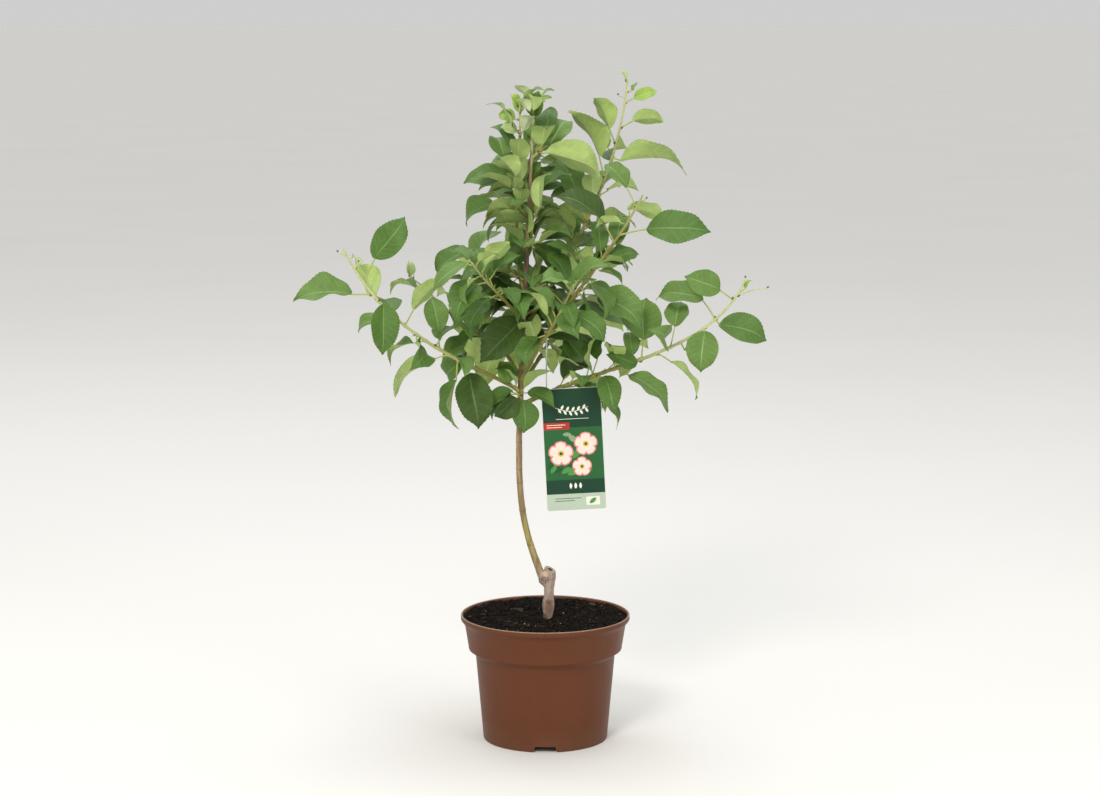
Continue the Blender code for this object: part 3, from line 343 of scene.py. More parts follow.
def between(pairs, height):
    """A value read from pairs of height and value, in straight runs."""
    if height <= pairs[0][0]:
        return pairs[0][1]
    for (low, first), (high, last) in zip(pairs, pairs[1:]):
        if height <= high:
            return first + (last - first) * (height - low) / (high - low)
    return pairs[-1][1]


# Tubes and blades: a spindle of rings, extruded once, whose corners are then put in place

@functools.lru_cache(maxsize=None)
def spindle(stations, sides, pointed=False, halved=True):
    """Corners as (station, x, y) and faces of a straight spindle; halved cuts its quads into triangles."""
    bm = bmesh.new()
    bmesh.ops.create_circle(bm, cap_ends=True, segments=sides, radius=1.0)
    bm.faces.ensure_lookup_table()
    end = bm.faces[0]
    for station in range(1, stations):
        grown = bmesh.ops.extrude_face_region(bm, geom=[end])
        if station > 1:
            bm.faces.remove(end)
        end = next(item for item in grown["geom"] if isinstance(item, bmesh.types.BMFace))
        bmesh.ops.translate(bm, verts=end.verts, vec=(0.0, 0.0, 1.0))
    if pointed:
        bmesh.ops.pointmerge(bm, verts=end.verts, merge_co=(0.0, 0.0, stations - 1.0))
    bmesh.ops.recalc_face_normals(bm, faces=bm.faces)
    if halved:
        bmesh.ops.triangulate(bm, faces=[face for face in bm.faces if len(face.verts) == 4])
    bm.verts.index_update()
    corners = [(round(vert.co.z), vert.co.x, vert.co.y) for vert in bm.verts]
    faces = [tuple(vert.index for vert in face.verts) for face in bm.faces]
    bm.free()
    return corners, faces


def ring_frames(points):
    """For each point of a course, the two directions across it, turning as little as they can."""
    frames = []
    across = None
    for index in range(len(points)):
        before = points[max(index - 1, 0)]
        after = points[min(index + 1, len(points) - 1)]
        along = (after - before).normalized()
        if across is None:
            across = along.cross(Vector((0.0, 1.0, 0.0)))
            if across.length < 0.1:
                across = along.cross(Vector((1.0, 0.0, 0.0)))
        across = (across - along * across.dot(along)).normalized()
        frames.append((across, along.cross(across)))
    return frames


def tube_shape(points, radii, sides):
    """Corners and faces of a closed tube along a course."""
    corners, faces = spindle(len(points), sides)
    frames = ring_frames(points)
    placed = []
    for station, x, y in corners:
        across, beside = frames[station]
        placed.append(points[station] + (across * x + beside * y) * radii[station])
    return placed, faces


def pot_inner():
    """The pot's inner profile as (radius, height), from the lip down to the middle of the floor."""
    return [
        (BAND_TOP_RADIUS - POT_WALL, LIP_FOOT), (BAND_FOOT_RADIUS - POT_WALL, BAND_FOOT + 0.0006),
        (STEP_RADIUS - POT_WALL, STEP_HEIGHT + POT_WALL), (BODY_TOP_RADIUS - POT_WALL, BODY_TOP + 0.0008),
        (FOOT_RADIUS - POT_WALL + 0.0001, CHANNEL_HEIGHT + POT_WALL),
        (FLOOR_DISC_RADIUS + 0.0015, CHANNEL_HEIGHT + POT_WALL), (FLOOR_DISC_RADIUS - 0.0015, POT_WALL),
    ]


# The trunk and the courses that leave it

def trunk_centre(height):
    """The middle of the scion at a height: it bows to the left, stands up and drifts back."""
    rise = max(height - UNION_HEIGHT, 0.0)
    bow = LEAN * (1.0 - math.exp(-(rise / LEAN_RISE) ** LEAN_POWER))
    return Vector((UNION_X - bow + DRIFT * rise, 0.0, height))


def scion_course(extra=0.0):
    """The scion's centre line and radii, with its rings closer together near the union."""
    shares = [(station / SCION_STATIONS) ** SCION_CROWDING for station in range(SCION_STATIONS + 1)]
    heights = [SCION_FOOT + (TRUNK_TOP - SCION_FOOT) * share for share in shares]
    points = [trunk_centre(height) for height in heights]
    points[0].x += SCION_INSET
    return points, [between(SCION_RADII, height) * MM + extra for height in heights]


def shoot_course(shoot, steps=40):
    """Points along a shoot, as a cubic curve in the upright plane of its heading."""
    start = trunk_centre(shoot.height)
    out = on_heading(shoot.heading)
    span = math.hypot(shoot.reach, shoot.rise)
    first = span * shoot.hold
    last = span * (0.66 - shoot.hold)
    launch = math.radians(shoot.launch)
    finish_slope = math.radians(shoot.finish)
    hooks = (
        (0.0, 0.0), (first * math.cos(launch), first * math.sin(launch)),
        (shoot.reach - last * math.cos(finish_slope), shoot.rise - last * math.sin(finish_slope)),
        (shoot.reach, shoot.rise),
    )
    points = []
    for step in range(steps + 1):
        t = step / steps
        shares = ((1 - t) ** 3, 3 * t * (1 - t) ** 2, 3 * t * t * (1 - t), t ** 3)
        away = sum(share * hook[0] for share, hook in zip(shares, hooks))
        up = sum(share * hook[1] for share, hook in zip(shares, hooks))
        points.append(start + out * away + Vector((0.0, 0.0, up)))
    return points


def along_course(points, share):
    """The point and the direction at a share of a course's length."""
    lengths = [(b - a).length for a, b in zip(points, points[1:])]
    left = max(0.0, min(share, 1.0)) * sum(lengths)
    for a, b, length in zip(points, points[1:], lengths):
        if left <= length:
            return a.lerp(b, left / length), (b - a).normalized()
        left -= length
    return points[-1].copy(), (points[-1] - points[-2]).normalized()


def stretch(course, first, last, count):
    """A number of evenly spaced points of a course between two shares."""
    return [along_course(course, first + (last - first) * step / (count - 1))[0] for step in range(count)]


# Leaves

Blade = namedtuple("Blade", "root stalk along face length width")
Mass = namedtuple("Mass", "course stem bough blades")


def leaf_corners(blade, margin=0.0):
    """Where the thirteen corners of a leaf are; a margin makes it fatter all round."""
    corners, faces = spindle(5, 3, True)
    base = blade.root + blade.stalk
    stalk_along = blade.stalk.normalized()
    side = blade.along.cross(blade.face).normalized()
    stalk_side = (side - stalk_along * side.dot(stalk_along)).normalized()
    stalk_down = stalk_side.cross(stalk_along) * -1.0
    if stalk_down.dot(blade.face) > 0.0:
        stalk_down.negate()
    thick = max(BLADE_THICKNESS, blade.length / 80.0)
    placed = []
    for station, x, y in corners:
        edge = 0.0 if abs(x) < 0.1 else math.copysign(1.0, x)
        keel = 1.0 if y > 0.5 else 0.0
        if station == 0:
            reach = STALK_RADIUS + margin
            sunk = stalk_down * (reach * (keel * 1.5 - 0.5))
            placed.append(blade.root + stalk_side * (edge * reach) + sunk)
        elif station == 1:
            reach = STALK_RADIUS * 1.2 + margin
            placed.append(base + side * (edge * reach) - blade.face * (reach * (keel * 1.5 - 0.5)))
        elif station == 4:
            placed.append(base + blade.along * (blade.length + margin))
        else:
            share, wide = BLADE_STATIONS[station - 2]
            middle = base + blade.along * (share * blade.length)
            middle += blade.face * (BLADE_ARCH * blade.length * 4.0 * share * (1.0 - share))
            half = 0.5 * blade.width * wide + margin
            depth = (thick + margin) * keel - margin * (1.0 - keel)
            placed.append(middle + side * (edge * half) - blade.face * depth)
    return placed, faces


def seen_direction(turn, lean):
    """A direction that the front view shows at a turn from +X, and that leans away to the back."""
    return Vector((math.cos(turn) * math.cos(lean), math.sin(lean), math.sin(turn) * math.cos(lean)))


def shown_blades(course, rows):
    """The leaves given row by row, as seen from the front."""
    blades = []
    toward = Vector((0.0, -1.0, 0.0))
    for row in rows:
        at, stalk, lift, length, aim, away, turn = row[:7]
        wide = row[7] if len(row) > 7 else BLADE_WIDTH
        root, _ = along_course(course, at)
        lean = math.radians(away)
        lift_turn, aim_turn, roll = math.radians(lift), math.radians(aim), math.radians(turn)
        stem = seen_direction(lift_turn, lean / 2)
        along = seen_direction(aim_turn, lean)
        front = (toward - along * toward.dot(along)).normalized()
        over = along.cross(front)
        if over.z < 0.0:
            over.negate()
        face = (front * math.cos(roll) + over * math.sin(roll)).normalized()
        blades.append(Blade(root, stem * stalk * MM, along, face, length * MM, length * MM * wide))
    return blades


def spiral_blades(course, spiral, upright=False, lift=0.0):
    """Leaves that follow the stem's spiral, largest in the middle of the shoot."""
    draw = random.Random(spiral.seed)
    blades = []
    start = draw.uniform(0.0, 360.0)
    for index in range(spiral.count):
        share = spiral.first + (1.0 - spiral.first) * (index + 0.6) / spiral.count
        root, tangent = along_course(course, share)
        across = tangent.cross(Vector((0.0, 0.0, 1.0)))
        if across.length < 0.1:
            across = Vector((1.0, 0.0, 0.0))
        across.normalize()
        out = Matrix.Rotation(math.radians(start + GOLDEN_TURN * index), 3, tangent) @ across
        climb = 0.9 if upright else draw.uniform(0.15, 0.65)
        droop = draw.uniform(-0.10, 0.50)
        along = out + tangent * climb
        if not upright:
            along.z += lift - droop
        along.normalize()
        stem = (out * 0.8 + tangent * 0.6 + Vector((0.0, 0.0, 0.35))).normalized()
        up = Vector((0.0, 0.0, 1.0)) if not upright else -out
        face = (up - along * up.dot(along)).normalized()
        face = Matrix.Rotation(math.radians(draw.uniform(-35.0, 35.0)), 3, along) @ face
        swell = 0.70 + 0.42 * math.sin(math.pi * (0.12 + 0.78 * share))
        length = spiral.blade * swell * draw.uniform(0.88, 1.08)
        width = length * draw.uniform(0.50, 0.62)
        blades.append(Blade(root, stem * length * draw.uniform(0.26, 0.40), along, face, length, width))
    return blades


def turned_blade(blade, push, degrees, scale):
    """The same leaf, pushed back, swung about the upright line through its root, and made smaller."""
    swing = Matrix.Rotation(math.radians(degrees), 3, "Z")
    stalk = swing @ (blade.stalk + Vector((0.0, push * MM, 0.0))) * scale
    return Blade(blade.root, stalk, swing @ blade.along, swing @ blade.face,
                 blade.length * scale, blade.width * scale)


# The ways in which a leaf is tried: pushed back in mm, swung in degrees, and made smaller
TRIES = [(0, 0, 1.0), (6, 0, 1.0), (-6, 0, 1.0), (12, 0, 1.0), (-12, 0, 1.0), (18, 0, 1.0), (-18, 0, 1.0),
         (0, 7, 1.0), (0, -7, 1.0), (0, 14, 1.0), (0, -14, 1.0), (0, 22, 1.0), (0, -22, 1.0), (0, 10, 0.85),
         (0, -10, 0.85), (0, 32, 0.9), (0, -32, 0.9), (0, 45, 0.85), (0, -45, 0.85)]


class Space:
    """What already stands, so that a new leaf touches none of it."""

    def __init__(self):
        self.shapes = []

    def add(self, owner, shape):
        corners, faces = shape
        low = Vector([min(corner[axis] for corner in corners) for axis in range(3)])
        high = Vector([max(corner[axis] for corner in corners) for axis in range(3)])
        self.shapes.append((owner, BVHTree.FromPolygons(corners, faces), low, high))

    def free(self, shape, owner, own):
        """Whether a shape touches none of its own mass, or none of all the rest."""
        corners, faces = shape
        low = [min(corner[axis] for corner in corners) for axis in range(3)]
        high = [max(corner[axis] for corner in corners) for axis in range(3)]
        tree = None
        for name, other, other_low, other_high in self.shapes:
            if (name == owner) != own:
                continue
            if any(high[axis] < other_low[axis] or low[axis] > other_high[axis] for axis in range(3)):
                continue
            tree = tree or BVHTree.FromPolygons(corners, faces)
            if tree.overlap(other):
                return False
        return True

    def place(self, owner, blades, side=1.0):
        """Stand each leaf where it touches nothing, and leave out what finds no room."""
        settled = [self.settle(owner, blade, side) for blade in blades]
        return [blade for blade in settled if blade is not None]

    def settle(self, owner, blade, side):
        """The first way of turning a leaf that touches nothing and stays within the side, or None."""
        for push, degrees, scale in TRIES:
            tried = turned_blade(blade, push, degrees, scale)
            corners, faces = leaf_corners(tried, CLEARANCE)
            if max(abs(corner.x) for corner in corners) > side:
                continue
            stations = [item[0] for item in spindle(5, 3, True)[0]]
            outer = [face for face in faces if min(stations[index] for index in face) > 1]
            if self.free((corners, faces), owner, False) and self.free((corners, outer), owner, True):
                self.add(owner, leaf_corners(tried))
                return tried
        return None


def stem_parts():
    """Every limb and stem: name, course of the mass's stem, its tube, and the bough's tube or None."""
    parts = []
    for name, shoot in SHOOTS.items():
        course = shoot_course(shoot)
        length = sum((b - a).length for a, b in zip(course, course[1:]))
        middle = (shoot.base + (shoot.tip - shoot.base) * shoot.bare) * MM
        bough_points = stretch(course, 0.0, shoot.bare, 6)
        bough_radii = [shoot.base * MM + (middle - shoot.base * MM) * step / 5 for step in range(6)]
        stem_points = stretch(course, shoot.bare + GAP / length, 1.0, 9)
        stem_radii = [middle + (shoot.tip * MM - middle) * step / 8 for step in range(9)]
        parts.append((name, course, (stem_points, stem_radii, 5), (bough_points, bough_radii, 6)))
    for name, spur in SPURS.items():
        start = trunk_centre(spur.height)
        lift = math.radians(spur.lift)
        along = on_heading(spur.heading) * math.cos(lift) + Vector((0.0, 0.0, math.sin(lift)))
        end = start + along * spur.length
        course = [start, start.lerp(end, 0.5), end]
        parts.append((name, course, (course, [SPUR_RADIUS, SPUR_RADIUS, SPUR_RADIUS * 0.8], 5), None))
    tip = trunk_centre(TRUNK_TOP)
    rise = (tip - trunk_centre(TRUNK_TOP - 0.01)).normalized()
    course = [tip + rise * GAP, tip + rise * TOP_STEM / 2, tip + rise * TOP_STEM]
    parts.append(("top", course, (course, [1.6 * MM, 1.3 * MM, 1.0 * MM], 5), None))
    return parts


# The label

def label_place():
    """Where the card hangs, and its tilt."""
    return Matrix.Translation(LABEL_CENTRE) @ Matrix.Rotation(math.radians(LABEL_TILT), 4, "Y")


def label_hole():
    """The middle of the hole, on the untilted card."""
    return Vector((HOLE_FROM_LEFT - LABEL_WIDTH / 2, 0.0, LABEL_HEIGHT / 2 - HOLE_FROM_TOP))


def loop_rings():
    """The centre line of the tie: an upright ring from the card's hole round the bough behind it."""
    hole = label_place() @ label_hole()
    bough = min(shoot_course(SHOOTS[LABEL_BOUGH], 400), key=lambda point: abs(point.x - hole.x))
    reach = Vector((0.0, bough.y - hole.y, bough.z - hole.z))
    along = reach.normalized()
    across = Vector((0.0, -along.z, along.y))
    half = (reach.length + LOOP_BEYOND) / 2
    points = []
    for step in range(LOOP_STEPS + 1):
        turn = math.tau * step / LOOP_STEPS
        swing = across * (LOOP_WIDTH / 2 * math.sin(turn))
        points.append(hole + along * (half - half * math.cos(turn)) + swing)
    return points


def label_shapes():
    """The card and its tie as plain shapes, for the leaves to keep clear of."""
    place = label_place()
    corners = [place @ Vector((x * LABEL_WIDTH / 2, y * LABEL_THICKNESS, z * LABEL_HEIGHT / 2))
               for x in (-1, 1) for y in (-1, 1) for z in (-1, 1)]
    faces = [(0, 1, 3, 2), (4, 6, 7, 5), (0, 4, 5, 1), (2, 3, 7, 6), (0, 2, 6, 4), (1, 5, 7, 3)]
    points = loop_rings()
    return [(corners, faces), tube_shape(points, [LOOP_RADIUS * 2] * len(points), 4)]


def limb_name(name):
    """The node of a mass's bare limb."""
    return name if name == "second_leader" else "bough_" + name


def grow():
    """Settle every leaf by the rule of the solids; gives each mass's course, stem, bough and leaves."""
    space = Space()
    space.add("trunk", tube_shape(*scion_course(), TRUNK_SIDES))
    for shape in label_shapes():
        space.add("label", shape)
    masses = {}
    for name, course, stem, bough in stem_parts():
        if bough:
            space.add(limb_name(name), tube_shape(*bough))
        space.add(name, tube_shape(*stem))
        masses[name] = Mass(course, stem, bough, [])
    for name, mass in masses.items():
        mass.blades.extend(space.place(name, shown_blades(mass.course, SHOWN.get(name, ()))))
    for name, spiral in SPIRALS.items():
        wanted = spiral_blades(masses[name].course, spiral, name == "top", RISE if name in RISING else 0.0)
        masses[name].blades.extend(space.place(name, wanted, SPIRAL_SIDE))
    for name, finer in FINER_SPIRALS.items():
        inner = stretch(masses[name].course, 0.0, finer.last, 24)
        wanted = spiral_blades(inner, Spiral(*finer[:4]), name == "top", RISE if name in RISING else 0.0)
        masses[name].blades.extend(space.place(name, wanted, SPIRAL_SIDE))
    return masses


GROWN = grow()

# The masses as they are joined for the scene: a group's leaves are one piece, and its shoots another
GROUPS = {
    "left": ("low_left", "mid_left"),
    "right": ("low_right",),
    "high_right": ("mid_right", "upper_right"),
    "front": ("front_left", "front_right", "low_spur", "right_spur", "front_spur", "inner_spur"),
    "middle": (
        "middle_left_spur", "middle_right_spur", "upper_left_spur", "upper_front_spur", "high_left_spur",
        "high_right_spur", "second_leader", "top",
    ),
    "back": ("back_left", "back_right", "back_high", "back_low_spur", "back_middle_spur", "back_high_spur"),
}


# Materials

def from_hex(code):
    """An sRGB hex colour as linear red, green, blue and alpha."""
    parts = [int(code[place:place + 2], 16) / 255.0 for place in (1, 3, 5)]
    linear = [part / 12.92 if part <= 0.04045 else ((part + 0.055) / 1.055) ** 2.4 for part in parts]
    return (*linear, 1.0)


def set_inputs(node, inputs):
    """Give a node's inputs, by name or in order, a value, a hex colour or a link from a socket."""
    for key, value in inputs.items() if isinstance(inputs, dict) else enumerate(inputs):
        if isinstance(value, bpy.types.NodeSocket):
            node.id_data.links.new(value, node.inputs[key])
        else:
            node.inputs[key].default_value = from_hex(value) if isinstance(value, str) else value


def add_node(tree, kind, inputs=(), stops=(), **settings):
    """Add a node with its inputs, settings and ramp stops as (place, hex colour), and give its outputs."""
    node = tree.nodes.new("ShaderNode" + kind)
    for key, value in settings.items():
        setattr(node, key, value)
    set_inputs(node, inputs)
    for index, (place, code) in enumerate(stops):
        elements = node.color_ramp.elements
        element = elements[index] if index < 2 else elements.new(place)
        element.position, element.color = place, from_hex(code)
    return node.outputs


def new_material(name, base, roughness, steady=()):
    """A Principled material with its steady values on its own sockets: itself, its shader, its add_node."""
    material = bpy.data.materials.new(name)
    material.use_nodes = True
    shader = material.node_tree.nodes["Principled BSDF"]
    set_inputs(shader, {"Base Color": base, "Roughness": roughness, "Metallic": 0.0, **dict(steady)})
    return material, shader, functools.partial(add_node, material.node_tree)


def grain(place, size_mm, detail=4.0, roughness=0.55):
    """The inputs of a noise whose features are about size_mm across."""
    return {"Vector": place, "Scale": 1.0 / (size_mm * MM), "Detail": detail, "Roughness": roughness}


def relief(height, depth_mm, strength=1.0):
    """The inputs of a bump of so many mm."""
    return {"Strength": strength, "Distance": depth_mm * MM, "Height": height}


BLEND = {"data_type": "RGBA", "blend_type": "MIX"}
SHADE = {"data_type": "RGBA", "blend_type": "MULTIPLY"}
SCALE_ADD = {"operation": "MULTIPLY_ADD"}
TIMES = {"operation": "MULTIPLY"}
MINUS = {"operation": "SUBTRACT"}


def leaf_blade_material(name, base, vein, roughness, sheen):
    """A living leaf: a thin waxy skin over soft tissue, quilted between its side veins.

    The wax gives a broad soft highlight and the fine hairs a grey bloom; the veins are a little paler.
    """
    material, shader, add = new_material(name, base, roughness, {
        "Sheen Weight": sheen, "Sheen Roughness": 0.5, "IOR": 1.42, "Specular IOR Level": 0.32})
    across, up, _ = add("SeparateXYZ", (add("UVMap", uv_map="blade")["UV"],))
    out = add("Math", (add("Math", (across, 2.0, -1.0), **SCALE_ADD)[0],), operation="ABSOLUTE")[0]
    slanted = add("Math", (up, add("Math", (out, VEIN_SLANT), **TIMES)[0]), **MINUS)[0]
    wave = add("Math", (add("Math", (slanted, float(VEINS)), **TIMES)[0], 0.5), operation="PINGPONG")[0]
    ridge = add("Math", (1.0, add("Math", (wave, 9.0), **TIMES)[0]), use_clamp=True, **MINUS)[0]
    place = add("TexCoord")["Object"]
    mottle = add("TexNoise", grain(place, 14.0, 3.0))[0]
    fine = add("TexNoise", grain(place, 1.6, 2.0))[0]
    shade = add("Math", (mottle, 1.1, 0.45), **SCALE_ADD)[0]
    tinted = add("Mix", {0: 0.6, 6: base, 7: shade}, **SHADE)[2]
    net = add("TexVoronoi", {"Vector": place, "Scale": 1.0 / (2.2 * MM)}, feature="DISTANCE_TO_EDGE")[0]
    quilt = add("Math", (net, 4.0), use_clamp=True, **TIMES)[0]
    lines = add("Math", (quilt, -0.22, 0.22), **SCALE_ADD)[0]
    netted = add("Mix", {0: lines, 6: tinted, 7: vein}, **BLEND)[2]
    veined = add("Mix", {0: add("Math", (ridge, 0.42), **TIMES)[0], 6: netted, 7: vein}, **BLEND)[2]
    rough = add("Math", (fine, 0.7, quilt), **SCALE_ADD)[0]
    height = add("Math", (ridge, -1.2, rough), **SCALE_ADD)[0]
    set_inputs(shader, {"Base Color": veined, "Normal": add("Bump", relief(height, 0.22, 0.7))[0]})
    return material


def plain_leaf_part(name, base, roughness, mottle_mm):
    """Stalks, ribs and young bark of a leaf: smooth and faintly mottled."""
    material, shader, add = new_material(name, base, roughness)
    mottle = add("TexNoise", grain(add("TexCoord")["Object"], mottle_mm, 3.0))[0]
    shade = add("Math", (mottle, 0.8, 0.6), **SCALE_ADD)[0]
    set_inputs(shader, {
        "Base Color": add("Mix", {0: 0.6, 6: base, 7: shade}, **SHADE)[2],
        "Normal": add("Bump", relief(mottle, 0.1))[0],
    })
    return material


# Meshes

def object_from(name, mesh, materials, smooth_degrees=None):
    """An object of a mesh with its materials, smooth where its faces meet at less than an angle."""
    piece = bpy.data.objects.new(name, mesh)
    bpy.context.scene.collection.objects.link(piece)
    for material in materials:
        mesh.materials.append(material)
    if smooth_degrees is not None:
        mesh.shade_smooth()
        mesh.set_sharp_from_angle(angle=math.radians(smooth_degrees))
    return piece


def mesh_from(bm, name):
    """A bmesh as a mesh, the bmesh being done with."""
    mesh = bpy.data.meshes.new(name)
    bm.to_mesh(mesh)
    bm.free()
    return mesh


def modified(piece):
    """The mesh of a piece with its modifiers applied, which are then taken off it."""
    mesh = bpy.data.meshes.new_from_object(piece.evaluated_get(bpy.context.evaluated_depsgraph_get()))
    piece.modifiers.clear()
    return mesh


def cut_with(piece, cutter, name):
    """The mesh of a piece after a cutter is taken out of it; the cutter goes."""
    cut = piece.modifiers.new(name, "BOOLEAN")
    cut.operation = "DIFFERENCE"
    cut.object = cutter
    mesh = modified(piece)
    bpy.data.objects.remove(cutter, do_unlink=True)
    return mesh


def turned(section, steps):
    """A bmesh turned from a section of (radius, height), from the middle of one side to the other's."""
    bm = bmesh.new()
    verts = [bm.verts.new((radius, 0.0, height)) for radius, height in section]
    edges = [bm.edges.new(pair) for pair in zip(verts, verts[1:])]
    bmesh.ops.spin(bm, geom=verts + edges, cent=(0, 0, 0), axis=(0, 0, 1), angle=math.tau,
                   steps=steps, use_merge=True)
    bmesh.ops.remove_doubles(bm, verts=bm.verts, dist=1e-6)
    bmesh.ops.recalc_face_normals(bm, faces=bm.faces)
    return bm


class Joined:
    """Many copies and tubes, gathered as one mesh."""

    def __init__(self, uv_name=None):
        self.points = []
        self.faces = []
        self.kinds = []
        self.places = []
        self.count = 0
        self.uv_name = uv_name

    def add(self, shape, kinds, places=None):
        """Add points and faces; kinds is each face's material or one for all, places are UVs."""
        points, faces = shape
        self.points.append(numpy.asarray(points, dtype=float))
        self.faces.extend(tuple(index + self.count for index in face) for face in faces)
        self.kinds.extend([kinds] * len(faces) if isinstance(kinds, int) else kinds)
        if places is not None:
            self.places.append(places)
        self.count += len(points)

    def mesh(self, name):
        """Everything so far as one mesh."""
        mesh = bpy.data.meshes.new(name)
        mesh.from_pydata(numpy.concatenate(self.points).tolist(), [], self.faces)
        mesh.polygons.foreach_set("material_index", self.kinds)
        if self.uv_name:
            layer = mesh.uv_layers.new(name=self.uv_name)
            corners = numpy.empty(len(mesh.loops), dtype=numpy.int32)
            mesh.loops.foreach_get("vertex_index", corners)
            layer.data.foreach_set("uv", numpy.concatenate(self.places)[corners].ravel())
        mesh.update()
        return mesh


def tube(points, radii, sides, swell=None):
    """A round tube along a course; swell gives each corner's radius a factor from station and turn."""
    corners, faces = spindle(len(points), sides, halved=False)
    corners = numpy.array(corners)
    frames = ring_frames(points)
    centre, across, beside = (numpy.array([tuple(item) for item in column])
                              for column in (points, *zip(*frames)))
    station = corners[:, 0].astype(int)
    size = numpy.asarray(radii)[station]
    if swell is not None:
        size = size * swell(station, numpy.arctan2(corners[:, 2], corners[:, 1]))
    out = across[station] * corners[:, 1:2] + beside[station] * corners[:, 2:3]
    return centre[station] + out * size[:, None], faces


def even_course(course, first, last, spacing):
    """Points of a course between two shares, about spacing apart, with their shares and its length."""
    length = sum((b - a).length for a, b in zip(course, course[1:]))
    count = max(3, round(length * (last - first) / spacing) + 1)
    shares = [first + (last - first) * step / (count - 1) for step in range(count)]
    return [along_course(course, share)[0] for share in shares], shares, length


# Leaves: each is a grid bent by formulas into its own blade

TOPSIDE, UNDERSIDE, TOP_RIB, UNDER_RIB = range(4)
LEAF_COLUMNS = 7
LEAF_ROWS = 34
RIB_SHARE = 0.042
VEINS = 8
VEIN_SLANT = 0.20
TEETH = 17
TIP_START = 0.74
LEAF_THICKNESS = 0.35 * MM
FRESH, YOUNG, MATURE_LIGHT, MATURE, MATURE_DARK, DOWNY = range(6)
# Each tone: top side, its veins, under side, its veins
# The three mature tones also serve as painted light and shade: leaf_tone gives the lighter ones to outer
# leaves and the darker ones to inner leaves
LEAF_TONES = (
    ("fresh", "#8db045", "#b6c97a", "#b2cb74", "#ccdaa0"),
    ("young", "#6f9640", "#90b062", "#b2c974", "#c9d89a"),
    ("mature light", "#5f7f3a", "#7f9d5b", "#aac26e", "#c2d294"),
    ("mature", "#4d6e2b", "#6a8c49", "#9eb660", "#b9cb89"),
    ("mature dark", "#3b531f", "#566f37", "#8aa352", "#a7b97a"),
    ("downy", "#a9bd7c", "#c2d09d", "#bccb98", "#ced8b0"),
)


def leaf_template():
    """A flat grid with a thickness: each corner's column, row and side, the faces, and each face's kind."""
    bm = bmesh.new()
    bmesh.ops.create_grid(bm, x_segments=LEAF_COLUMNS, y_segments=LEAF_ROWS, size=1.0)
    bmesh.ops.solidify(bm, geom=bm.faces[:], thickness=0.5)
    bmesh.ops.recalc_face_normals(bm, faces=bm.faces)
    bm.verts.index_update()
    corners = numpy.array([tuple(vert.co) for vert in bm.verts])
    middle = 0.5 * (corners[:, 2].max() + corners[:, 2].min())
    side = numpy.where(corners[:, 2] > middle, 1.0, 0.0)
    narrow = 1.0 / LEAF_COLUMNS
    rib = narrow + 0.01
    faces, kinds = [], []
    for face in bm.faces:
        indexes = [vert.index for vert in face.verts]
        faces.append(tuple(indexes))
        top = side[indexes].mean()
        if abs(corners[indexes, 0]).max() < rib and top in (0.0, 1.0):
            kinds.append(TOP_RIB if top > 0.5 else UNDER_RIB)
        else:
            kinds.append(UNDERSIDE if top < 0.5 else TOPSIDE)
    bm.free()
    reach = abs(corners[:, 0])
    wide = RIB_SHARE + (1.0 - RIB_SHARE) * (reach - narrow) / (1.0 - narrow)
    column = numpy.sign(corners[:, 0]) * numpy.where(reach < rib, RIB_SHARE, wide)
    return column, 0.5 * (corners[:, 1] + 1.0), side, faces, kinds


def leaf_outline(row):
    """Half the width of a blade along it, as a share: rounded at the stalk, drawn out to a fine tip."""
    full = numpy.sin(math.pi * numpy.clip(row, 0.0, 1.0) ** 0.86) ** 0.74
    u = numpy.clip((row - TIP_START) / (1.0 - TIP_START), 0.0, 1.0)
    shoulder = math.sin(math.pi * TIP_START ** 0.86) ** 0.74
    tip = shoulder * (1.0 - u) ** 2 * (1.0 + 2.0 * u) - 0.45 * u * (1.0 - u) ** 2 + 0.30 * u * u * (1.0 - u)
    return numpy.where(row > TIP_START, tip, full)


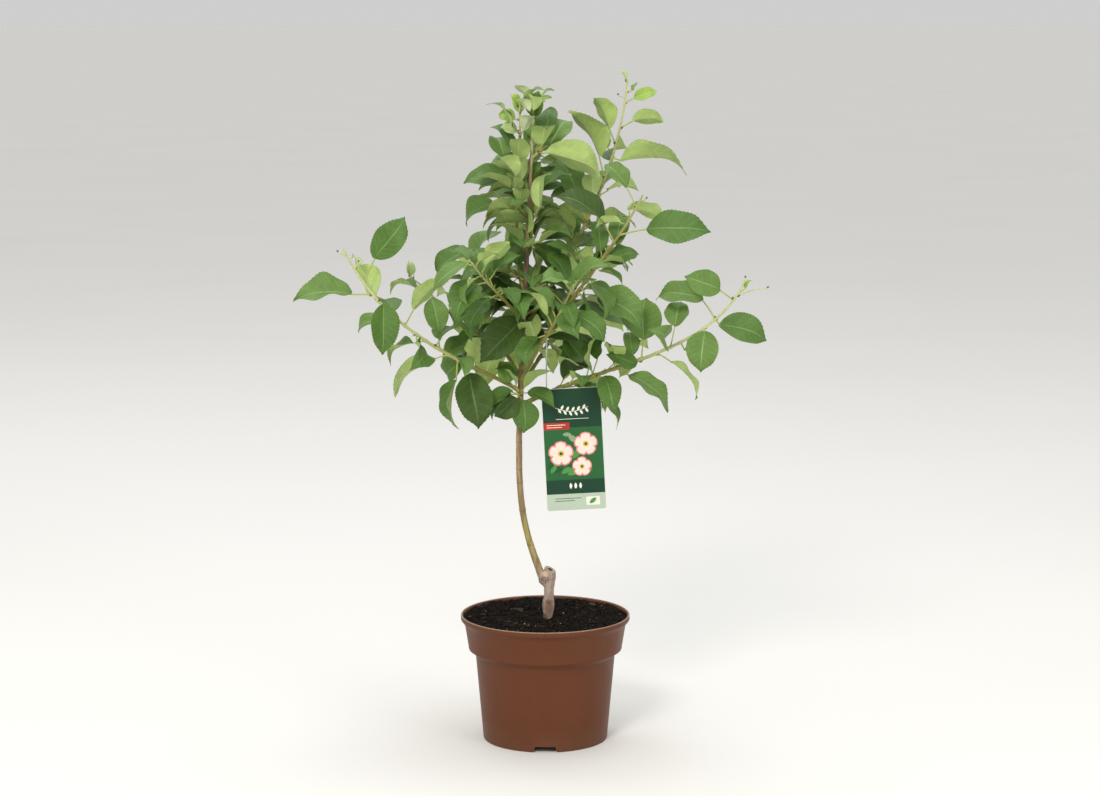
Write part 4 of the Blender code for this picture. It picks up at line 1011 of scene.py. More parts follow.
def bent_blade(blade, template, draw):
    """The corners of one leaf, folded, waved, quilted and recurved, each leaf in its own way."""
    column, row, side, _, _ = template
    length = blade.length
    fold = draw.uniform(0.20, 0.70)
    wave = draw.uniform(0.015, 0.045) * length
    waves = draw.uniform(1.2, 2.4)
    phases = (draw.uniform(0.0, math.tau), draw.uniform(0.0, math.tau))
    recurve = draw.uniform(0.08, 0.28) * length
    bow = draw.uniform(-0.035, 0.035) * length
    twist = draw.uniform(-0.45, 0.45)
    reach = numpy.abs(column)
    ends = numpy.clip(row * 8.0, 0.0, 1.0) * numpy.clip((1.0 - row) * 8.0, 0.0, 1.0)
    tooth = numpy.where((numpy.round(row * 2 * TEETH) % 2 == 1) & (reach > 0.95), 0.040, 0.0) * ends
    half = 0.48 * blade.width * (leaf_outline(row) * (1.0 + tooth)) + (0.7 - 0.55 * row) * MM * reach
    arch = 4.0 * row * (1.0 - row)
    lift = BLADE_ARCH * length * arch + reach ** 0.85 * half * math.tan(fold) * (1.0 - 0.6 * row)
    phase = numpy.where(column > 0.0, phases[0], phases[1])
    lift = lift + wave * reach ** 2 * numpy.sin(math.tau * waves * row + phase)
    inner = (1.0 - reach ** 3) * numpy.clip(6.0 * reach, 0.0, 1.0) * numpy.clip(arch, 0.0, 1.0)
    quilt = numpy.cos(math.tau * VEINS * (row - VEIN_SLANT * reach)) * inner
    bend = numpy.clip((row - 0.55) / 0.45, 0.0, 1.0) ** 2
    lift = lift - 0.0045 * length * quilt - recurve * bend
    along = row * length + numpy.where(tooth > 0.0, 0.008 * length, 0.0) - 0.45 * recurve * bend
    on_rib = reach < RIB_SHARE + 0.01
    thick = numpy.where(on_rib, LEAF_THICKNESS + (0.75 - 0.6 * row) * MM, LEAF_THICKNESS)
    lift = lift - numpy.where(on_rib, 0.12 * MM, 0.0) - (1.0 - side) * thick
    sway = column * half + bow * arch
    sine, cosine = numpy.sin(twist * (row - 0.3)), numpy.cos(twist * (row - 0.3))
    bent = numpy.stack([sway * cosine - lift * sine, along, sway * sine + lift * cosine], axis=1)
    across = blade.along.cross(blade.face).normalized()
    axes = numpy.array([tuple(across), tuple(blade.along), tuple(blade.face)])
    return numpy.array(tuple(blade.root + blade.stalk)) + bent @ axes


def leaf_tone(blade, draw):
    """Which colour a leaf has: fresh at the tips of the shoots, lighter further out and up as painted light,
    and darker the deeper it sits in the crown as painted shade, each from a random mix of tones.
    """
    middle = blade.root + blade.stalk + blade.along * (0.5 * blade.length)
    away = math.hypot(middle.x - trunk_centre(middle.z).x, middle.y)
    outer = max((away - 0.05) / 0.12, (middle.z - 0.66) / 0.08)
    if blade.length < 0.034:
        return draw.choice((FRESH, YOUNG, DOWNY) if outer > 0.8 else (YOUNG, MATURE_LIGHT, MATURE))
    # Leaves out and up in the crown take the lighter mature tones as painted light, and those deep inside
    # take the darker ones as painted shade
    if outer > 0.6:
        return draw.choice((MATURE_LIGHT, MATURE_LIGHT, MATURE))
    if outer > 0.2:
        return draw.choice((MATURE_LIGHT, MATURE, MATURE))
    return draw.choice((MATURE, MATURE_DARK))


def leaf_materials(settings):
    """Four materials for each tone: top side, under side, and the midrib on each side."""
    materials = []
    for tone, top, top_vein, under, under_vein in LEAF_TONES:
        waxy = (f"leaf {tone}, waxy top side", top, top_vein, settings.leaf_roughness, 0.03)
        materials.append(leaf_blade_material(*waxy))
        materials.append(leaf_blade_material(f"leaf {tone}, downy under side", under, under_vein, 0.62, 0.12))
        materials.append(plain_leaf_part(f"leaf {tone}, midrib on the top side", top_vein, 0.5, 5.0))
        materials.append(plain_leaf_part(f"leaf {tone}, midrib below", under_vein, 0.5, 5.0))
    return materials


def make_leaves(settings):
    """One piece of leaves for each group of masses."""
    template = leaf_template()
    column, row, _, faces, kinds = template
    places = numpy.stack([0.5 * column + 0.5, row], axis=1)
    materials = leaf_materials(settings)
    for group, names in GROUPS.items():
        gathered = Joined("blade")
        for name in names:
            draw = random.Random("leaves of " + name)
            for blade in GROWN[name].blades:
                tone = leaf_tone(blade, draw)
                slots = [4 * tone + kind for kind in kinds]
                gathered.add((bent_blade(blade, template, draw), faces), slots, places)
        title = "leaves_of_the_" + group
        piece = object_from(title, gathered.mesh(title), materials, 60.0)
        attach(piece, "root")
        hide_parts(*["leaves_" + name for name in names])


# Stalks, buds and shoots

STALK, SHOOT, BUD, CUT = range(4)
STALK_STEPS = 7
STALK_SIDES = 7
PRUNED = ("low_left", "mid_right", "low_right", "back_left", "back_right")
# Short side stems near a pruned tip: where they leave the shoot, their heading as seen from the front,
# how far they lean away, and their length in mm
SIDE_STEMS = {
    "low_right": ((0.93, 14, 20, 44), (0.985, 70, 10, 9)),
    "low_left": ((0.955, 150, -20, 14), (0.90, 60, 25, 9)),
    "mid_left": ((0.93, 150, 15, 12),),
    "mid_right": ((0.95, 30, 10, 11),),
    "upper_right": ((0.93, 160, 10, 9),),
    "back_left": ((0.93, 40, 30, 20),),
    "back_right": ((0.93, 140, 30, 18),),
}


def stalk_tube(blade, draw):
    """A leaf's stalk: thicker at its foot, slightly bowed, and running on under the blade."""
    start = blade.root
    end = blade.root + blade.stalk + blade.along * (0.05 * blade.length) - blade.face * (0.5 * MM)
    bow = Vector((0.0, 0.0, draw.uniform(-0.08, 0.16))) * blade.stalk.length
    middle = start.lerp(end, 0.45) + bow
    shares = [step / STALK_STEPS for step in range(STALK_STEPS + 1)]
    points = [start * (1 - t) ** 2 + middle * (2 * t * (1 - t)) + end * t ** 2 for t in shares]
    slim = 0.55 * MM + 0.32 * MM * min(blade.length / 0.06, 1.2)
    radii = [slim * (1.0 + 0.9 * math.exp(-share / 0.12)) for share in shares]
    radii[-1] = slim * 0.5
    return tube(points, radii, STALK_SIDES)


def bud_at(root, out, along, size):
    """A pointed bud that sits in the angle of a stalk."""
    direction = (along * 0.8 + out * 0.45).normalized()
    points = [root + out * size * 0.35 + direction * size * share for share in (0.0, 0.25, 0.55, 0.85, 1.0)]
    return tube(points, [size * 0.30, size * 0.42, size * 0.38, size * 0.18, size * 0.03], 6)


def stipule_at(root, out, along, size, draw):
    """A narrow scale beside the foot of a stalk, as a thin tube."""
    beside = out.cross(along).normalized() * draw.choice((-1.0, 1.0))
    direction = (out * 0.7 + beside * 0.7 + along * 0.5).normalized()
    points = [root + direction * size * share for share in (0.0, 0.3, 0.7, 1.0)]
    return tube(points, [0.35 * MM, 0.7 * MM, 0.5 * MM, 0.1 * MM], 4)


def course_share(course, root):
    """The share of a course at which a point on it lies."""
    lengths = [(b - a).length for a, b in zip(course, course[1:])]
    total = sum(lengths)
    best, passed = (1e9, 0.0), 0.0
    for a, b, length in zip(course, course[1:], lengths):
        t = max(0.0, min(1.0, (root - a).dot(b - a) / (length * length)))
        gap = (a.lerp(b, t) - root).length
        best = min(best, (gap, (passed + t * length) / total))
        passed += length
    return best[1]


def shoot_tube(name, mass, draw):
    """The stem inside a mass: slender, uneven, and swollen at each leaf."""
    points, radii, _ = mass.stem
    first = SHOOTS[name].bare if name in SHOOTS else 0.0
    course = mass.course if name in SHOOTS else points
    fine, shares, length = even_course(course, first, 1.0, 2.2 * MM)
    joints = [course_share(course, blade.root) for blade in mass.blades]
    sizes = []
    for share in shares:
        size = radii[0] + (radii[-1] - radii[0]) * ((share - first) / (1.0 - first))
        swell = sum(math.exp(-((share - joint) * length / (1.7 * MM)) ** 2) for joint in joints)
        sizes.append(size * (1.0 + 0.30 * min(swell, 1.0)))
    wander = [draw.uniform(0.0, math.tau) for _ in range(3)]

    def uneven(station, turn):
        slow = 0.05 * numpy.sin(3.0 * turn + wander[0] + station * 0.4)
        return 1.0 + slow + 0.03 * numpy.sin(5.0 * turn + wander[1] - station * 0.9)

    return tube(fine, sizes, 10, uneven)


def cut_end(point, along, radius):
    """The pale disc of wood on a pruned tip."""
    points = [point - along * 0.4 * MM, point + along * 0.05 * MM, point + along * 0.35 * MM]
    return tube(points, [radius * 1.08, radius * 1.08, radius * 0.7], 10)


def add_side_stem(gathered, course, share, heading, lean, length):
    """A short bare stem that leaves a shoot near its end, with a bud at its tip."""
    root, _ = along_course(course, share)
    out = seen_direction(math.radians(heading), math.radians(lean))
    points = [root + out * (length * MM * step / 6) for step in range(7)]
    for step, point in enumerate(points):
        point.z += 0.08 * length * MM * math.sin(math.pi * step / 6)
    gathered.add(tube(points, [0.9 * MM * (1.0 - 0.06 * step) for step in range(7)], 8), SHOOT)
    gathered.add(bud_at(points[-1], Vector((0.0, 0.0, 1.0)), out, 3.0 * MM), BUD)


def make_shoots(settings):
    """One piece of stems, stalks, buds and stipules for each group of masses."""
    materials = [
        plain_leaf_part("leaf stalk, pale green and downy", settings.stalk_colour, 0.55, 6.0),
        shoot_bark(settings),
        plain_leaf_part("bud, brown overlapping scales", "#6b5230", 0.6, 1.5),
        plain_leaf_part("pruned end, dry pale wood", "#c9bd96", 0.8, 1.0),
    ]
    for group, names in GROUPS.items():
        gathered = Joined()
        for name in names:
            mass = GROWN[name]
            draw = random.Random("shoots of " + name)
            gathered.add(shoot_tube(name, mass, draw), SHOOT)
            for blade in mass.blades:
                gathered.add(stalk_tube(blade, draw), STALK)
                _, along = along_course(mass.course, course_share(mass.course, blade.root))
                out = (blade.stalk - along * blade.stalk.dot(along)).normalized()
                gathered.add(bud_at(blade.root, out, along, draw.uniform(2.6, 4.2) * MM), BUD)
                if draw.random() < 0.6:
                    size = draw.uniform(4.0, 8.0) * MM
                    gathered.add(stipule_at(blade.root, out, along, size, draw), STALK)
            if name in PRUNED:
                gathered.add(cut_end(*along_course(mass.course, 1.0), mass.stem[1][-1]), CUT)
            for stem in SIDE_STEMS.get(name, ()):
                add_side_stem(gathered, mass.course, *stem)
        title = "shoots_of_the_" + group
        piece = object_from(title, gathered.mesh(title), materials, 50.0)
        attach(piece, "root")
        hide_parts(*["leaves_" + name for name in names])


# Bark

BARK_STEP = 1.2 * MM
BARK_FOOT = 0.150
BARK_RISE = 0.620
# The bark's colour at each height
BARK_HEIGHTS = (
    (0.150, "#2a2018"), (0.154, "#6a5a4c"), (0.158, "#a89a88"), (0.175, "#a59284"), (0.190, "#b09c8d"),
    (0.204, "#b9a594"), (0.212, "#a89074"), (0.221, "#8a7650"), (0.237, "#8d7e48"), (0.256, "#94874a"),
    (0.293, "#94854f"), (0.336, "#957c55"), (0.410, "#8a7053"), (0.534, "#7d6050"), (0.690, "#806850"),
    (0.725, "#9a9462"), (0.755, "#c0c892"), (0.770, "#c6ce9a"),
)
# The heights of the rings where leaves stood
RING_HEIGHTS = (0.2449, 0.2880, 0.3226, 0.3395, 0.3740, 0.4020)
# Marks on the foot: where, how far they reach, their colour and how strong they are
BARK_PATCHES = (
    ((0.0045, -0.0075, 0.1650), (0.0062, 0.0060, 0.0115), "#845c4c", 0.75),
    ((0.0050, -0.0075, 0.1735), (0.0070, 0.0060, 0.0030), "#5a3a2a", 0.60),
    # The pale cream patch on top of the graft's callus is partly its own colour and partly a painted
    # highlight
    ((0.0005, -0.0060, 0.2085), (0.0050, 0.0060, 0.0045), "#cdb39c", 0.70),
)
CRACKS_PLACE = (-0.0018, -0.004, 0.2000)
CRACKS_REACH = (0.0080, 0.012, 0.0060)

# The foot of the trunk in the scene: where it ends, the swelling of the graft, and how fine its skin is
FOOT_TOP = 0.262
FOOT_SUNK = 0.004
FOOT_VOXEL = 0.00045
CALLUS_PLACE = (0.0005, -0.0005, 0.2035)
CALLUS_REACH = (0.0085, 0.0068, 0.0095)
STOCK_HEIGHTS = [SOIL_TOP - FOOT_SUNK] + [height for height, _ in ROOTSTOCK_RADII[1:]]
# The pruning cut: a point of its plane, and the way it faces
CUT_PLACE = Vector((
    ROOTSTOCK_X + ROOTSTOCK_LEAN * (STOCK_HEIGHTS[-1] - SOIL_TOP), 0.0, STOCK_HEIGHTS[-1] - CUT_DROP))
CUT_FACING = Matrix.Rotation(math.radians(CUT_SLOPE), 3, "Y") @ Vector((0.0, -CUT_FORWARD, 1.0))


def shoot_bark(settings):
    """Bark of this year's shoots: a thin olive skin with a brown flush, pale and downy near the top."""
    olive = settings.shoot_colour
    material, shader, add = new_material("young shoot bark, smooth and pored", olive, 0.52)
    place = add("TexCoord")["Object"]
    flush = add("TexNoise", grain(place, 34.0, 2.0))[0]
    tint = add("ValToRGB", (flush,), ((0.44, olive), (0.76, "#7d6538")))[0]
    flat = add("Mapping", {"Vector": place, "Scale": (1.0, 1.0, 0.0)})[0]
    spread = add("VectorMath", (flat,), operation="LENGTH")["Value"]
    outward = add("Math", (spread, 9.0, -0.65), **SCALE_ADD)[0]
    upward = add("Math", (add("SeparateXYZ", (place,))[2], 14.0, -9.8), **SCALE_ADD)[0]
    young = add("Math", (outward, upward), operation="MAXIMUM", use_clamp=True)[0]
    aged = add("Mix", {0: young, 6: tint, 7: "#b9c184"}, **BLEND)[2]
    pores = add("TexVoronoi", {"Vector": place, "Scale": 1.0 / (2.6 * MM)})[0]
    spots = add("ValToRGB", (pores,), ((0.08, "#ffffff"), (0.16, "#000000")))[0]
    speckled = add("Mix", {0: add("Math", (spots, 0.6), **TIMES)[0], 6: aged, 7: "#b6a878"}, **BLEND)[2]
    height = add("Math", (add("TexNoise", grain(place, 0.9, 3.0))[0], spots), operation="ADD")[0]
    set_inputs(shader, {"Base Color": speckled, "Normal": add("Bump", relief(height, 0.2, 0.6))[0]})
    return material


def patch_mask(add, place, centre, reach):
    """1 inside an oval round a centre, with a ragged edge, and 0 outside."""
    moved = add("VectorMath", (place, centre), operation="SUBTRACT")[0]
    sized = add("VectorMath", (moved, reach), operation="DIVIDE")[0]
    length = add("VectorMath", (sized,), operation="LENGTH")["Value"]
    away = add("Math", (add("TexNoise", grain(place, 2.2))[0], 1.4, length), **SCALE_ADD)[0]
    return add("Math", (away, -2.6, 4.6), use_clamp=True, **SCALE_ADD)[0]


def trunk_bark():
    """Bark of the grafted trunk, by height.

    The rootstock is a pale grey tan with fine cracks and one healed scar, the union is knobbly with brown
    cracks and a pale cream top on its callus that is partly a painted highlight; above it the bark is olive
    streaked with brown and with pale olive, the pale streaks partly a painted highlight, ringed where leaves
    stood, and it turns to a mauve brown up the leader and to a downy pale green at its tip.
    """
    material, shader, add = new_material("grafted trunk bark", "#8f7d6b", 0.72)
    place = add("TexCoord")["Object"]
    up = add("SeparateXYZ", (place,))[2]
    wobble = add("TexNoise", grain(place, 9.0, 3.0))[0]
    shift = add("Math", (wobble, 0.018, -0.009), **SCALE_ADD)[0]
    lifted = add("Math", (up, shift), operation="ADD")[0]
    risen = add("Math", (lifted, BARK_FOOT), **MINUS)[0]
    share = add("Math", (risen, 1.0 / BARK_RISE), use_clamp=True, **TIMES)[0]
    stops = [((height - BARK_FOOT) / BARK_RISE, code) for height, code in BARK_HEIGHTS]
    colour = add("ValToRGB", (share,), stops)[0]
    stretched = add("Mapping", {"Vector": place, "Scale": (1.0, 1.0, 0.16)})[0]
    streaks = add("TexNoise", grain(stretched, 1.8, 5.0, 0.6))[0]
    broad = add("TexNoise", grain(stretched, 5.0, 2.0))[0]
    # Broad streaks: brown ones that are the bark's own colour, and pale olive ones that are partly the bark's
    # colour and partly a painted highlight
    for low, high, strength, code in (
            ((0.48, "#000000"), (0.62, "#ffffff"), 0.55, "#73584a"),
            ((0.34, "#ffffff"), (0.46, "#000000"), 0.40, "#b9ad72")):
        mask = add("Math", (add("ValToRGB", (broad,), (low, high))[0], strength), **TIMES)[0]
        colour = add("Mix", {0: mask, 6: colour, 7: code}, **BLEND)[2]
    shade = add("Math", (streaks, 1.1, 0.45), **SCALE_ADD)[0]
    colour = add("Mix", {0: 0.8, 6: colour, 7: shade}, **SHADE)[2]
    wavering = add("Math", (wobble, 0.0016, up), **SCALE_ADD)[0]
    for height in RING_HEIGHTS:
        away = add("Math", (add("Math", (wavering, height), **MINUS)[0],), operation="ABSOLUTE")[0]
        ring = add("Math", (away, -1.0 / (0.8 * MM), 1.0), use_clamp=True, **SCALE_ADD)[0]
        colour = add("Mix", {0: add("Math", (ring, 0.6), **TIMES)[0], 6: colour, 7: "#4a3424"}, **BLEND)[2]
    for centre, reach, tone, strength in BARK_PATCHES:
        patch = add("Math", (patch_mask(add, place, centre, reach), strength), **TIMES)[0]
        colour = add("Mix", {0: patch, 6: colour, 7: tone}, **BLEND)[2]
    warp = add("TexNoise", grain(place, 3.0, 3.0))
    strayed = add("VectorMath", (warp[1], (0.006, 0.006, 0.006), place), **SCALE_ADD)[0]
    cells = add("TexVoronoi", {"Vector": strayed, "Scale": 1.0 / (2.8 * MM)}, feature="DISTANCE_TO_EDGE")[0]
    thin = add("Math", (cells, 5.0), **TIMES)[0]
    crack = add("Math", (add("Math", (warp[0], 1.7), **TIMES)[0], thin), use_clamp=True, **MINUS)[0]
    at_union = add("Math", (crack, patch_mask(add, place, CRACKS_PLACE, CRACKS_REACH)), **TIMES)[0]
    colour = add("Mix", {0: at_union, 6: colour, 7: "#54331f"}, **BLEND)[2]
    squat = add("Mapping", {"Vector": place, "Scale": (0.6, 0.6, 1.6)})[0]
    pores = add("TexVoronoi", {"Vector": squat, "Scale": 1.0 / (4.6 * MM)})[0]
    spots = add("ValToRGB", (pores,), ((0.06, "#ffffff"), (0.13, "#000000")))[0]
    colour = add("Mix", {0: add("Math", (spots, 0.45), **TIMES)[0], 6: colour, 7: "#b9a77c"}, **BLEND)[2]
    rough = add("Math", (streaks, 1.4, spots), **SCALE_ADD)[0]
    height = add("Math", (rough, at_union), **MINUS)[0]
    set_inputs(shader, {"Base Color": colour, "Normal": add("Bump", relief(height, 0.35, 0.8))[0]})
    return material


def cut_wood():
    """The healed pruning cut: a pale callus rim round dark weathered wood with faint checks."""
    material, shader, add = new_material("weathered pruning cut", "#5a5250", 0.85)
    place = add("TexCoord")["Object"]
    distance = add("VectorMath", (place, CUT_PLACE), operation="DISTANCE")["Value"]
    checks = add("TexNoise", grain(place, 1.1, 5.0))[0]
    ragged = add("Math", (checks, 0.35, -0.17), **SCALE_ADD)[0]
    away = add("Math", (distance, 1.0 / (6.0 * MM), ragged), **SCALE_ADD)[0]
    stops = ((0.30, "#3a3236"), (0.55, "#6b6060"), (0.72, "#b5a898"), (0.95, "#a8957f"))
    set_inputs(shader, {
        "Base Color": add("ValToRGB", (away,), stops)[0], "Normal": add("Bump", relief(checks, 0.3))[0]})
    return material


def bark_relief(seed, rough, ring_mm, nodes=None):
    """A factor for a limb's radius: fine ridges, slow unevenness and low rings where leaves once stood."""
    draw = random.Random(seed)
    shifts = [draw.uniform(0.0, 50.0) for _ in range(3)]
    first = draw.uniform(0.0, ring_mm)
    nodes = nodes or [first + ring_mm * step for step in range(12)]

    def factor(station, turn):
        values = numpy.empty(len(station))
        for index, (up, angle) in enumerate(zip(station * BARK_STEP / MM, turn)):
            x, y = math.cos(angle), math.sin(angle)
            slow = noise.noise((x * 0.9 + shifts[0], y * 0.9, up / 22.0))
            fine = noise.noise((x * 3.2 + shifts[1], y * 3.2, up / 3.0))
            crisp = noise.noise((x * 7.0 + shifts[2], y * 7.0, up / 1.4))
            ring = sum(math.exp(-((up - node) / 1.1) ** 2) for node in nodes if abs(up - node) < 4.0)
            values[index] = 1.0 + rough * (0.10 * slow + 0.05 * fine + 0.03 * crisp) + 0.07 * ring
        return values

    return factor


def add_closed(bm, name, shape, clip=False):
    """Add a tube to a bmesh; clip slices its top off along the pruning cut."""
    mesh = bpy.data.meshes.new(name)
    mesh.from_pydata([tuple(point) for point in shape[0]], [], shape[1])
    if clip:
        part = bmesh.new()
        part.from_mesh(mesh)
        sliced = bmesh.ops.bisect_plane(
            part, geom=part.verts[:] + part.edges[:] + part.faces[:], dist=1e-6, plane_co=CUT_PLACE,
            plane_no=CUT_FACING, clear_outer=True)
        rim = [item for item in sliced["geom_cut"] if isinstance(item, bmesh.types.BMEdge)]
        bmesh.ops.holes_fill(part, edges=rim, sides=0)
        part.to_mesh(mesh)
        part.free()
    bm.from_mesh(mesh)
    bpy.data.meshes.remove(mesh)


def weather_foot(bm):
    """Raise cracks, lumps and one ring on the foot's skin, sink its cut, and give the cut its material."""
    facing = CUT_FACING.normalized()
    bm.normal_update()
    for vert in bm.verts:
        above = abs((vert.co - CUT_PLACE).dot(facing))
        on_cut = above < 0.0012 and vert.normal.dot(facing) > 0.75 and vert.co.x > UNION_X - 0.001
        point = vert.co / MM
        cracks = noise.noise((point.x / 1.3, point.y / 1.3, point.z / 4.5))
        lumps = noise.noise((point.x / 3.5, point.y / 3.5, point.z / 5.0 + 9.0))
        grit = noise.noise(point / 0.9)
        rough = 1.0 if vert.co.z < 0.207 else 0.45
        ring = math.exp(-((vert.co.z - RING_HEIGHTS[0]) / (1.0 * MM)) ** 2)
        if on_cut:
            middle = (vert.co - CUT_PLACE).length / (6.5 * MM)
            vert.co -= facing * (0.5 * MM * max(0.0, 1.0 - middle) + 0.12 * MM * grit)
        else:
            raised = rough * (0.34 * cracks + 0.40 * lumps + 0.10 * grit) + 0.35 * ring
            vert.co += vert.normal * (raised * MM)
    bm.normal_update()
    for face in bm.faces:
        centre = face.calc_center_median()
        near = abs((centre - CUT_PLACE).dot(facing)) < 0.0013 and face.normal.dot(facing) > 0.78
        face.material_index = 1 if near and (centre - CUT_PLACE).length < 0.0062 else 0


def make_foot():
    """The rootstock with its pruned stub, the graft union and the scion's first length, as one skin."""
    bm = bmesh.new()
    stock = [Vector((ROOTSTOCK_X + ROOTSTOCK_LEAN * (height - SOIL_TOP), 0.0, height))
             for height in STOCK_HEIGHTS]
    add_closed(bm, "stock", tube(stock, [radius * MM for _, radius in ROOTSTOCK_RADII], 24), True)
    heights = [SCION_FOOT + (FOOT_TOP - SCION_FOOT) * step / 16 for step in range(17)]
    scion = [trunk_centre(height) for height in heights]
    scion[0].x += SCION_INSET
    add_closed(bm, "scion", tube(scion, [between(SCION_RADII, height) * MM for height in heights], 20))
    callus = Matrix.Translation(CALLUS_PLACE) @ Matrix.Diagonal((*CALLUS_REACH, 1.0))
    bmesh.ops.create_icosphere(bm, subdivisions=3, radius=1.0, matrix=callus)
    foot = object_from("trunk_foot", mesh_from(bm, "trunk_foot"), [])
    remesh = foot.modifiers.new("one skin", "REMESH")
    remesh.mode = "VOXEL"
    remesh.voxel_size = FOOT_VOXEL
    skin = modified(foot)
    bm = bmesh.new()
    bm.from_mesh(skin)
    for _ in range(3):
        bmesh.ops.smooth_vert(bm, verts=bm.verts, factor=0.5, use_axis_x=True, use_axis_y=True,
                              use_axis_z=True)
    weather_foot(bm)
    bm.to_mesh(skin)
    bm.free()
    foot.data = skin
    skin.materials.append(trunk_bark())
    skin.materials.append(cut_wood())
    skin.shade_smooth()
    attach(foot, "root")
    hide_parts("trunk")


def make_leader():
    """The scion above its foot, in the same bark."""
    count = round((TRUNK_TOP - FOOT_TOP) / BARK_STEP)
    low = FOOT_TOP - FOOT_SUNK
    heights = [low + (TRUNK_TOP - low) * step / count for step in range(count + 1)]
    radii = [between(SCION_RADII, height) * MM for height in heights]
    rings = [(height - low) / MM for height in RING_HEIGHTS[1:]]
    leader = Joined()
    course = [trunk_centre(height) for height in heights]
    leader.add(tube(course, radii, 20, bark_relief(3, 0.8, 0.0, rings)), 0)
    bark = bpy.data.materials["grafted trunk bark"]
    piece = object_from("trunk_leader", leader.mesh("trunk_leader"), [bark], 60.0)
    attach(piece, "root")
    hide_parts("trunk")


def make_boughs(settings):
    """Every bare limb, with a collar at the trunk and its own bark relief."""
    boughs = Joined()
    replaced = []
    for index, (name, mass) in enumerate(GROWN.items()):
        if not mass.bough:
            continue
        shoot = SHOOTS[name]
        course, shares, length = even_course(mass.course, 0.0, shoot.bare, BARK_STEP)
        middle = (shoot.base + (shoot.tip - shoot.base) * shoot.bare) * MM
        radii = []
        for share in shares:
            size = shoot.base * MM + (middle - shoot.base * MM) * share / shoot.bare
            collar = 0.45 * math.exp(-max(share * length - 3.0 * MM, 0.0) / (3.5 * MM))
            radii.append(size * (1.0 + collar))
        boughs.add(tube(course, radii, 16, bark_relief(20 + index, 0.7, 27.0)), 0)
        replaced.append(limb_name(name))
    piece = object_from("boughs", boughs.mesh("boughs"), [shoot_bark(settings)], 60.0)
    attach(piece, "root")
    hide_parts(*replaced)


# The pot

POT_TURNS = 180
# How far below the lip's top the dust fades out, and how far up the foot it does
LIP_DUST = 1.1 * MM
FOOT_DUST = 0.030


def moulded_brown(settings):
    """Injection-moulded polypropylene: an even red brown with a satin skin, and a dusty worn lip."""
    material, shader, add = new_material("moulded brown polypropylene", settings.pot_colour, 0.44, {
        "IOR": 1.49, "Specular IOR Level": 0.14})
    place = add("TexCoord")["Object"]
    up = add("SeparateXYZ", (place,))[2]
    tall = add("Mapping", {"Vector": place, "Scale": (1.0, 1.0, 0.12)})[0]
    cloud = add("TexNoise", grain(place, 45.0))[0]
    grit = add("TexNoise", grain(place, 1.5, 3.0))[0]
    shade = add("Math", (add("TexNoise", grain(tall, 14.0, 3.0))[0], 0.24, 0.88), **SCALE_ADD)[0]
    body = add("Mix", {0: 0.8, 6: settings.pot_colour, 7: shade}, **SHADE)[2]
    low = add("Math", (up, -1.0 / FOOT_DUST, 1.0), use_clamp=True, **SCALE_ADD)[0]
    dust = add("Math", (add("Math", (low, cloud), **TIMES)[0], 0.35), **TIMES)[0]
    dusty = add("Mix", {0: dust, 6: body, 7: "#7d6650"}, **BLEND)[2]
    start = 1.0 - (POT_HEIGHT - 0.0003) / LIP_DUST
    lip = add("Math", (up, 1.0 / LIP_DUST, start), use_clamp=True, **SCALE_ADD)[0]
    patchy = add("Math", (grit, 2.2, -0.35), use_clamp=True, **SCALE_ADD)[0]
    worn = add("Math", (lip, patchy), **TIMES)[0]
    skin = add("TexNoise", grain(place, 1.6, 3.0))[0]
    set_inputs(shader, {
        "Base Color": add("Mix", {0: worn, 6: dusty, 7: "#a8927f"}, **BLEND)[2],
        "Roughness": add("Math", (cloud, 0.20, 0.34), **SCALE_ADD)[0],
        "Normal": add("Bump", relief(skin, 0.05))[0],
    })
    return material


